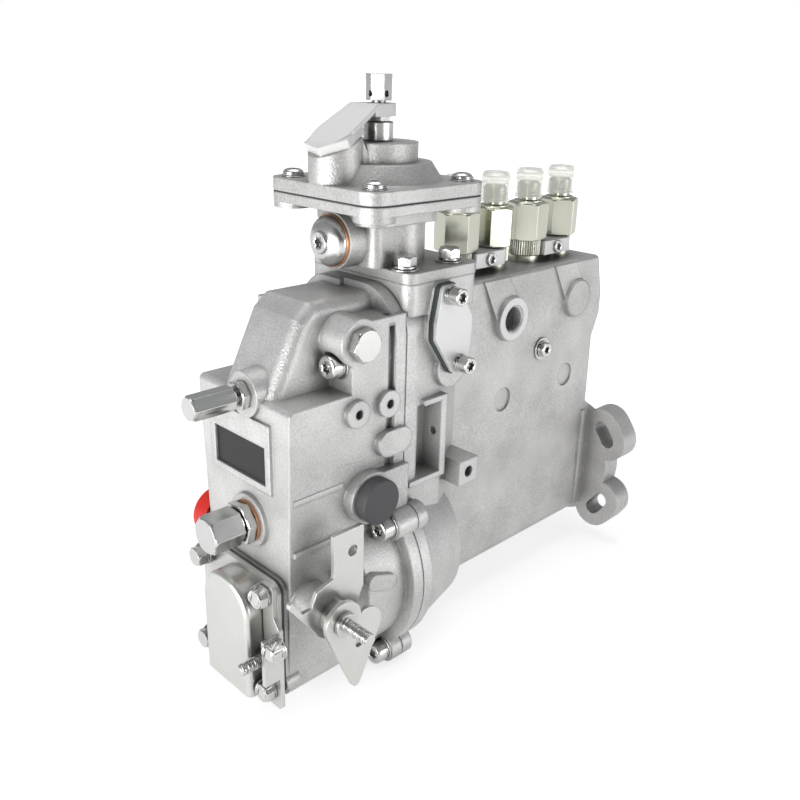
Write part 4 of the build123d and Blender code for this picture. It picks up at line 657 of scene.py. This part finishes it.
def set_heads(name, label, facing, height, washers, head):
    """Washers and a head on every screw of a part, with the head's face at its outer end.

    Solids shorter than the shortest screw are washers and are passed over.
    """
    axis = [abs(step) for step in facing].index(1)
    spots = []
    for low_corner, high_corner in islands(label):
        if high_corner[axis] - low_corner[axis] < shortest_screw:
            continue
        spot = (low_corner + high_corner) / 2
        outer_end = (high_corner if facing[axis] > 0 else low_corner)[axis]
        spot[axis] = outer_end - facing[axis] * height / 1000
        spots.append(spot)
    pattern = bpy.data.objects.new("pattern", joined("pattern", washers + [(head, Matrix())]))
    bpy.context.scene.collection.objects.link(pattern)
    base = bpy.data.meshes.new("spots")
    base.from_pydata(spots, [], [])
    heads = shape(copies, {"Item": pattern, "Facing": facing, "Turn": any_turn}, bright_steel, base)
    bpy.data.objects.remove(pattern)
    piece(name, [(heads, Matrix())], replaced=(label,))


# %% [markdown]
# ### Screws of the covers
# The governor's cover has tall star screws, the compensator's cover low domed ones, and
# the side cover and the bleed screw small ones. The dome is its own outline, the others
# differ only in their sizes.

# %% Screws of the covers
pan_dome = turned([(5.0, 1.6), (5.2, 1.8), (5.15, 2.3), (4.9, 2.8), (4.3, 3.3), (3.5, 3.7), (2.9, 3.9),
                   (2.5, 3.8, STAR), (2.5, 2.0, STAR), (0.2, 1.8)], bright_steel)
tall_head = star_head(radius=6.0, height=8.5, socket=3.1, base=2.35)
side_head = star_head(radius=4.5, height=8.0, socket=2.7, base=1.7, rounding=0.7)
bleed_head = star_head(radius=4.6, height=4.8, socket=2.4, base=1.5, rounding=0.8)
set_heads("cover_screw_heads", "governor_cover_screws", BACK, 8.5,
          washer_pair(flat_radius=7.0, spring_radius=6.0), tall_head)
set_heads("compensator_screw_heads", "compensator_cover_screws", UP, 3.9,
          washer_pair(flat_radius=6.0, spring_radius=5.4, flat=0.7, spring=1.0), pan_dome)
set_heads("side_cover_screw_heads", "side_cover_screws", FRONT, 8.0,
          washer_pair(flat_radius=5.0, spring_radius=4.8, flat=0.6, spring=1.2), side_head)
set_heads("bleed_screw_head", "bleed_screw", FRONT, 4.8,
          washer_pair(flat_radius=7.2, spring_radius=5.4, flat=1.0, spring=0.9), bleed_head)

# %% [markdown]
# ### Screws and bolts on top
# Short star screws hold the blocks between the valve holders, and hexagon bolts hold the
# compensator on its seat.

# %% Screws and bolts on top
clamp_head = star_head(radius=3.8, height=1.6, socket=2.3, rounding=0.5)
mount_head = hex_head(flats=10.0, height=7.2, base=2.1)
set_heads("clamp_screw_heads", "holder_clamp_screws", FRONT, 1.6, [], clamp_head)
set_heads("mount_bolt_heads", "compensator_mount_bolts", UP, 7.2,
          washer_pair(flat_radius=7.2, spring_radius=5.6, flat=0.9, spring=1.3), mount_head)

# %% [markdown]
# ### Plugs
# The compensator's side is closed by a domed plug with a small hub and a star socket, the
# governor's side by a flat hexagon. A sphere would be too round for the dome, so its
# outline is a row of points that falls faster near the rim.

# %% Plugs
low, middle, high = in_mm(max(islands("compensator_plug"), key=lambda box: box[1].z - box[0].z))
dome_rim, dome_depth = 12.5, 7.5
dome = turned([(dome_rim - 0.2, 0), (dome_rim, 0.2), (12.45, 1.0), (12.0, 2.2), (11.2, 3.3), (10.0, 4.3),
               (8.4, 5.2), (6.9, 5.7), (5.7, 5.9), (5.5, 6.1), (5.5, 7.1), (5.1, dome_depth),
               (3.4, dome_depth), (3.0, 7.2, STAR), (3.0, 5.2, STAR), (0.2, 5.0)], bright_steel)
piece("compensator_plug_dome", [(dome, at(low.x + dome_depth, middle.y, middle.z, BACK))],
      replaced=("compensator_plug",))

low, middle, high = in_mm(islands("side_plug")[0])
plug_flats, plug_height, plug_turn = 15.2, 6.0, 10
plug_inset = 5.6
piece("side_plug_head", [(hex_head(plug_flats, plug_height),
                          at(middle.x, low.y + plug_inset, middle.z, FRONT, plug_turn))],
      replaced=("side_plug",))

# %% [markdown]
# ## Fasteners of the end cover
# The pressed cover at the low end is held by hexagon bolts, one stud sticks out for a
# cable clamp, and one bolt sits on the folded bracket and points forward. One part holds
# them all, so the shape of each box decides what is drawn there. The washers are solids
# of their own, and their boxes get a bolt as well.

# %% Bolt and stud
bolt_height, bolt_turn = 9.5, 20
bolt = washer_pair(flat_radius=5.5, spring_radius=5.2, flat=1.0, spring=1.3)
bolt.append((hex_head(flats=9.6, height=7.4, base=2.2), Matrix()))
stud_radius, stud_tip = 2.7, 0.6
stud_thread_length = 12.0
thinnest_bolt = 8.0
stud_thread = shape(thread, {"Radius": 0.0028, "Pitch": 0.001, "Length": stud_thread_length / 1000,
                             "Ridge": 0.0004}, bright_steel)


def stud(low, middle, high):
    """A stud with a chamfered tip that fills its box, with its thread near the tip."""
    length = high.x - low.x
    rod = turned([(stud_radius, 0), (stud_radius, length - stud_tip), (stud_radius - 0.5, length),
                  (0.2, length)], bright_steel)
    return [(rod, at(high.x, middle.y, middle.z, BACK)),
            (stud_thread, at(low.x + stud_thread_length + 1, middle.y, middle.z, BACK))]


# %% Fasteners of the end cover
end_parts = []
for low, middle, high in map(in_mm, islands("end_cover_bolts")):
    size = high - low
    if size.y > size.x:
        foot, facing = (middle.x, low.y + bolt_height, middle.z), FRONT
    elif size.z < thinnest_bolt:
        end_parts += stud(low, middle, high)
        continue
    else:
        foot, facing = (low.x + bolt_height, middle.y, middle.z), BACK
    end_parts += [(mesh, at(*foot, facing, bolt_turn) @ matrix) for mesh, matrix in bolt]
piece("end_cover_fasteners", end_parts, replaced=("end_cover_bolts",))

# %% [markdown]
# ## Stop screws
# Two screws limit the idle and the full load setting. Each is locked by a thin nut and
# closed by a long cap nut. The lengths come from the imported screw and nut, so that the
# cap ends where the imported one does.

# %% Nuts
def cap_nut(flats, length, neck):
    """A long closed nut with a round neck at its foot."""
    half, corner = hex_sizes(flats)
    return turned([(neck, -3.0), (neck, 0), (half - 0.2, 0), (corner, 0.8, half),
                   (corner, length - 1.4, half), (corner - 0.7, length - 0.7, half),
                   (half - 0.1, length, half), (0.2, length)], bright_steel)


def jam_nut(flats, height):
    """A thin nut with chamfers on both faces."""
    half, corner = hex_sizes(flats)
    return turned([(half - 0.3, 0), (corner - 0.4, 0.4, half), (corner, 0.9, half),
                   (corner, height - 0.9, half), (corner - 0.4, height - 0.4, half),
                   (half - 0.3, height), (0.2, height)], bright_steel)


# %% Stop screws
jam_turn = 12


def stop_screw(label, nut_box, cap_flats, neck, gap, jam_flats):
    """A cap nut and a jam nut, with a gap between them where the thread shows."""
    low, middle, high = in_mm(nut_box)
    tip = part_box(label)[0].x * 1000
    length = low.x - tip - gap
    return [(cap_nut(cap_flats, length, neck), at(tip + length, middle.y, middle.z, BACK)),
            (jam_nut(jam_flats, high.x - low.x), at(high.x, middle.y, middle.z, BACK, jam_turn))]


load_nut, idle_nut = sorted(islands("stop_screw_jam_nuts"), key=lambda box: box[0].z)
idle_low, idle_middle, _ = in_mm(idle_nut)
idle_thread = shape(thread, {"Radius": 0.0031, "Pitch": 0.001, "Length": 0.003, "Ridge": 0.0004},
                    bright_steel)
piece("stop_screws",
      stop_screw("idle_stop_screw", idle_nut, cap_flats=11.0, neck=3.4, gap=2.0, jam_flats=13.0)
      + [(idle_thread, at(idle_low.x, idle_middle.y, idle_middle.z, BACK))]
      + stop_screw("full_load_stop_screw", load_nut, cap_flats=17.5, neck=4.8, gap=0.5, jam_flats=20.0),
      replaced=("idle_stop_screw", "full_load_stop_screw", "stop_screw_jam_nuts"))

# %% [markdown]
# ## Delivery valve holders
# Each cylinder's fuel leaves through a holder: a splined band, a hexagon and a threaded
# nose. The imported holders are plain. One turned outline makes body and nose, and the
# band and the thread come from their trees. The real ones are tightened to any angle, so
# each of the four has its own turn.

# %% Holders
first_cylinder_x, cylinder_spacing = -137.0, 32.0
holder_turns = (12, 34, 8, 22)
cylinder_x = [first_cylinder_x + cylinder_spacing * n for n in range(len(holder_turns))]
band_radius, body_radius, nose_radius = 9.3, 9.2, 6.5
hex_half, hex_corner = 11.0, 12.71
hex_low, hex_high = 164.5, 184.9
nose_top = 198.5
holder = turned([
    (8.4, 147.0), (band_radius, 147.0), (band_radius, 154.2), (8.9, 154.5), (body_radius, 154.6),
    (body_radius, 163.4), (10.6, 163.5, hex_half), (12.0, 163.9, hex_half), (hex_corner, hex_low, hex_half),
    (hex_corner, hex_high, hex_half), (12.1, 185.5, hex_half), (10.9, 186.0, hex_half), (9.0, 186.0),
    (8.6, 186.4), (8.6, 187.0), (6.9, 187.2), (6.4, 187.6), (6.4, 189.4), (7.0, 189.6),
    (nose_radius, 190.2), (nose_radius, 197.2), (5.4, nose_top), (2.4, nose_top), (2.0, 196.0),
    (0.2, 195.8)], yellow_zinc)
band_middle, thread_foot = 159, 190.4
band = shape(teeth, {"Count": 40, "Radius": 0.0095, "Ridge": 0.00058, "Height": 0.0088}, yellow_zinc)
nose_thread = shape(thread, {"Radius": nose_radius / 1000, "Pitch": 0.0015, "Length": 0.0065,
                             "Ridge": 0.0006}, yellow_zinc)
holder_parts = []
for x, turn in zip(cylinder_x, holder_turns):
    holder_parts += [(holder, at(x, 0, 0, turn=turn)), (band, at(x, 0, band_middle)),
                     (nose_thread, at(x, 0, thread_foot))]
piece("valve_holders", holder_parts, replaced=("delivery_valve_holders",))

# %% [markdown]
# ### Clear caps
# A thin cap keeps dirt out of each holder until the pipe is fitted. A solid block of
# clear plastic would look like glass, so the outline runs up the outside and back down
# the inside, which leaves a real wall.

# %% Clear caps
cap_low, cap_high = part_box("dust_caps")
foot, top = cap_low.z * 1000, cap_high.z * 1000
cap_turn = 8
cap = turned([(7.2, foot), (8.2, foot), (8.2, foot + 1.2), (7.6, foot + 1.6), (7.6, top - 6.2),
              (8.2, top - 5.6, 7.9), (8.2, top - 1.2, 7.9), (7.2, top, 7.5), (0.2, top), (0.2, top - 1.6),
              (6.4, top - 2.0), (7.0, top - 3.0)], clear_plastic, closed=True)
piece("clear_caps", [(cap, at(x, 0, 0, turn=turn + cap_turn)) for x, turn in zip(cylinder_x, holder_turns)],
      replaced=("dust_caps",))

# %% [markdown]
# ## Lever stud
# The fan lever's stud carries the outer lever. It turns with the control lever, so its
# thread and collar ride on that body, and would stay behind on any other. Their places
# are measured from the stud's tip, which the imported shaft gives.

# %% Lever stud
stud_low, stud_middle, _ = in_mm(max(islands("lever_shaft"), key=lambda box: box[1].y - box[0].y))
lever_thread_length, thread_to_tip, collar_to_tip = 14.5, 15.0, 18.5
lever_thread = shape(thread, {"Radius": 0.0030, "Pitch": 0.001, "Length": lever_thread_length / 1000,
                              "Ridge": 0.00045}, zinc_sheet)
collar = turned([(5.8, 0), (6.2, 0.3), (6.2, 2.2), (5.7, 2.6), (3.4, 2.6), (3.2, 3.4), (0.2, 3.4)],
                bright_steel)
piece("lever_stud_thread",
      [(lever_thread, at(stud_middle.x, stud_low.y + thread_to_tip, stud_middle.z, FRONT)),
       (collar, at(stud_middle.x, stud_low.y + collar_to_tip, stud_middle.z, FRONT))],
      "control_lever")

# %% [markdown]
# ## Bosses on the housing
# The fuel inlet is a milled face with a threaded hole. Beside it stands a second boss
# that was cast but never drilled. The faces are thin discs just proud of the casting,
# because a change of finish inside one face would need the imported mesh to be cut.

# %% Bosses on the housing
inlet_x, inlet_z, inlet_face_y, inlet_hole = -112, 124.5, -26, 8.6
blank_x, blank_z, blank_face_y = -45, 126.0, -25
thread_end_y = -13
inlet_thread = shape(thread, {"Radius": 0.0080, "Pitch": 0.0015, "Length": 0.0125, "Ridge": 0.0008},
                     machined)
inlet_face = turned([(inlet_hole, -0.5), (12.7, -0.5), (12.7, 0.12), (inlet_hole, 0.12)], machined,
                    closed=True)
blank_face = turned([(11.2, -0.5), (11.6, 0.1), (0.2, 0.1)], housing_cast)
piece("inlet_thread", [(inlet_thread, at(inlet_x, thread_end_y, inlet_z, FRONT)),
                       (inlet_face, at(inlet_x, inlet_face_y, inlet_z, FRONT)),
                       (blank_face, at(blank_x, blank_face_y, blank_z, FRONT))])

# %% [markdown]
# ## Cast pads
# The mould left low pads and bars on the governor's side, and a boss round the lowest
# bolt hole. A pad is a flat outline with round ends, pulled from a plane inside the
# casting out to its face, so that no gap can show behind it.

# %% Pad
END_STEPS = 12


def capsule(start, end, radius, face, root):
    """A bar with round ends between two (x, z) points, from a root plane to a face plane in y."""
    tilt = Vector((end[0] - start[0], end[1] - start[1])).angle_signed(Vector((1, 0)))
    outline = []
    for middle, first in ((end, -90), (start, 90)):
        for step in range(END_STEPS + 1):
            angle = radians(first + 180 * step / END_STEPS) + tilt
            outline.append((middle[0] + radius * cos(angle), middle[1] + radius * sin(angle)))
    form = bmesh.new()
    near = [form.verts.new((x, face, z)) for x, z in outline]
    far = [form.verts.new((x, root, z)) for x, z in outline]
    form.faces.new(near)
    form.faces.new(list(reversed(far)))
    for n in range(len(outline)):
        m = (n + 1) % len(outline)
        form.faces.new((near[m], near[n], far[n], far[m]))
    return finished_mesh(form, "pad", cover_cast), Matrix()


# %% Cast pads
bolt_pad_x = -287.9
long_pad_z = 83
longest_washer = 0.010
low_bolts = [box for box in islands("end_cover_bolts")
             if box[1].y < 0 and (box[1] - box[0]).x > longest_washer]
_, bolt_middle, _ = in_mm(min(low_bolts, key=lambda box: box[0].z))
bolt_boss = turned([(3.1, 0), (4.8, 0), (5.0, 0.3), (5.0, 8.6), (4.0, 9.6), (3.1, 9.6)], cover_cast,
                   closed=True)
piece("cast_pads", [
    (bolt_boss, at(bolt_pad_x, bolt_middle.y, bolt_middle.z, INWARD)),
    capsule((-225, long_pad_z), (-216, long_pad_z), radius=7.0, face=-40.1, root=-36.0),
    capsule((-243, 14), (-232, 10), radius=4.5, face=-50.3, root=-45.0),
    capsule((-254, 18), (-250, 17), radius=4.0, face=-44.5, root=-36.0),
])

# %% [markdown]
# ## Floor
# The pump stands on a white table that runs out into a white wall. A lit white plane
# would turn grey where less light falls. The plane therefore glows for the camera, least
# under the pump, where its soft shadow has to stay, and fully at a distance. Half of the
# glow also shows in the bright metal.

# %% Floor
floor_gap, floor_size = 0.0004, 40
shadow_reach, white_from = 0.15, 0.75
glow_near, glow_far, glow_in_metal = 0.60, 1.0, 0.5
low, high = cad_bounds
centre = (low + high) / 2
bpy.ops.mesh.primitive_plane_add(size=floor_size, location=(centre.x, centre.y, low.z - floor_gap))
floor = bpy.context.object
floor.name = "floor"
floor_material = bpy.data.materials.new("floor")
floor_material.use_nodes = True
tree = floor_material.node_tree
shader = tree.nodes["Principled BSDF"].inputs
shader["Base Color"].default_value = (0.93, 0.93, 0.93, 1)
shader["Roughness"].default_value = 0.6
shader["Emission Color"].default_value = (1, 1, 1, 1)
ray = add(tree, "ShaderNodeLightPath").outputs
spot = add(tree, "ShaderNodeTexCoord").outputs["Object"]
distance = add(tree, "ShaderNodeVectorMath", operation="LENGTH")
fade = add(tree, "ShaderNodeMapRange", {"From Min": shadow_reach, "From Max": white_from, "To Min": glow_near,
                                        "To Max": glow_far}, interpolation_type="SMOOTHSTEP")
seen = add(tree, "ShaderNodeMath", {1: glow_in_metal}, operation="MULTIPLY_ADD")
glow = add(tree, "ShaderNodeMath", operation="MULTIPLY")
wire(tree, [(ray["Is Glossy Ray"], seen.inputs[0]), (ray["Is Camera Ray"], seen.inputs[2]),
            (spot, distance.inputs[0]), (distance.outputs["Value"], fade.inputs["Value"]),
            (seen.outputs[0], glow.inputs[0]), (fade.outputs[0], glow.inputs[1]),
            (glow.outputs[0], shader["Emission Strength"])])
floor.data.materials.append(floor_material)
print("floor at", floor.location)

# %% [markdown]
# ## World
# The camera sees a white world. What the metal mirrors is dimmer, and darkest behind the
# camera, since a studio has a dark side there. That dark patch is what draws the edges
# of bright steel.

# %% World
dark_way = (-0.69, -0.69, 0.2)
world = bpy.data.worlds.new("studio")
bpy.context.scene.world = world
world.use_nodes = True
tree = world.node_tree
ambient = tree.nodes["Background"]
ambient.inputs["Color"].default_value = (0.86, 0.88, 0.90, 1)
way = add(tree, "ShaderNodeTexCoord").outputs["Generated"]
toward = add(tree, "ShaderNodeVectorMath", {1: dark_way}, operation="DOT_PRODUCT")
dim = add(tree, "ShaderNodeMapRange", {"From Min": 0.55, "From Max": 0.93, "To Min": 0.34, "To Max": 0.05},
          interpolation_type="SMOOTHSTEP")
white = add(tree, "ShaderNodeBackground", {"Color": (1, 1, 1, 1)})
ray = add(tree, "ShaderNodeLightPath").outputs
choose = add(tree, "ShaderNodeMixShader")
wire(tree, [(way, toward.inputs[0]), (toward.outputs["Value"], dim.inputs["Value"]),
            (dim.outputs[0], ambient.inputs["Strength"]), (ray["Is Camera Ray"], choose.inputs[0]),
            (ambient.outputs[0], choose.inputs[1]), (white.outputs[0], choose.inputs[2]),
            (choose.outputs[0], tree.nodes["World Output"].inputs["Surface"])])
print("world:", world.name)

# %% [markdown]
# ## Lights
# Large soft boxes give blasted metal its even sheen and steel its long highlights. Small
# lamps would make hard spots. One box hangs above, and one stands on each side of the
# camera, low enough to light the upright faces.

# %% Lights
def soft_light(name, place, size, power):
    """A rectangular light in metres and watts that faces the middle of the pump."""
    light = bpy.data.lights.new(name, "AREA")
    light.shape = "RECTANGLE"
    light.size, light.size_y = size
    light.energy = power
    lamp = bpy.data.objects.new(name, light)
    lamp.location = place
    lamp.rotation_euler = (centre - Vector(place)).to_track_quat("-Z", "Y").to_euler()
    bpy.context.scene.collection.objects.link(lamp)


soft_light("top_light", (-0.10, 0.10, 1.00), (0.7, 0.6), 2.6)
soft_light("left_light", (-1.15, -0.10, 0.12), (0.8, 0.36), 6.4)
soft_light("right_light", (0.30, -1.25, 0.12), (0.9, 0.4), 4.0)
print("lights:", len(bpy.data.lights))

# %% [markdown]
# ## Camera
# The photograph was taken from the governor's end, a little above the pump. Its place,
# angles and lens were solved from points on the pump's three main directions, which a
# guess by eye can't match. The angles are turned into the camera's own axes.

# %% Camera
yaw, pitch, roll = radians(44.95), radians(-21.17), radians(-1.49)
camera_place = (-0.49993, -0.32081, 0.25918)
forward = Vector((cos(pitch) * cos(yaw), cos(pitch) * sin(yaw), sin(pitch)))
level_right = Vector((sin(yaw), -cos(yaw), 0))
level_down = forward.cross(level_right)
right = cos(roll) * level_right + sin(roll) * level_down
down = -sin(roll) * level_right + cos(roll) * level_down
lens = bpy.data.cameras.new("camera")
lens.sensor_width = 36
lens.lens = 38.504
camera = bpy.data.objects.new("camera", lens)
axes = Matrix((right, -down, -forward)).transposed().to_4x4()
camera.matrix_world = Matrix.Translation(camera_place) @ axes
bpy.context.scene.collection.objects.link(camera)
bpy.context.scene.camera = camera
bpy.context.scene.view_settings.view_transform = "Standard"
print("camera at", camera.matrix_world.translation)
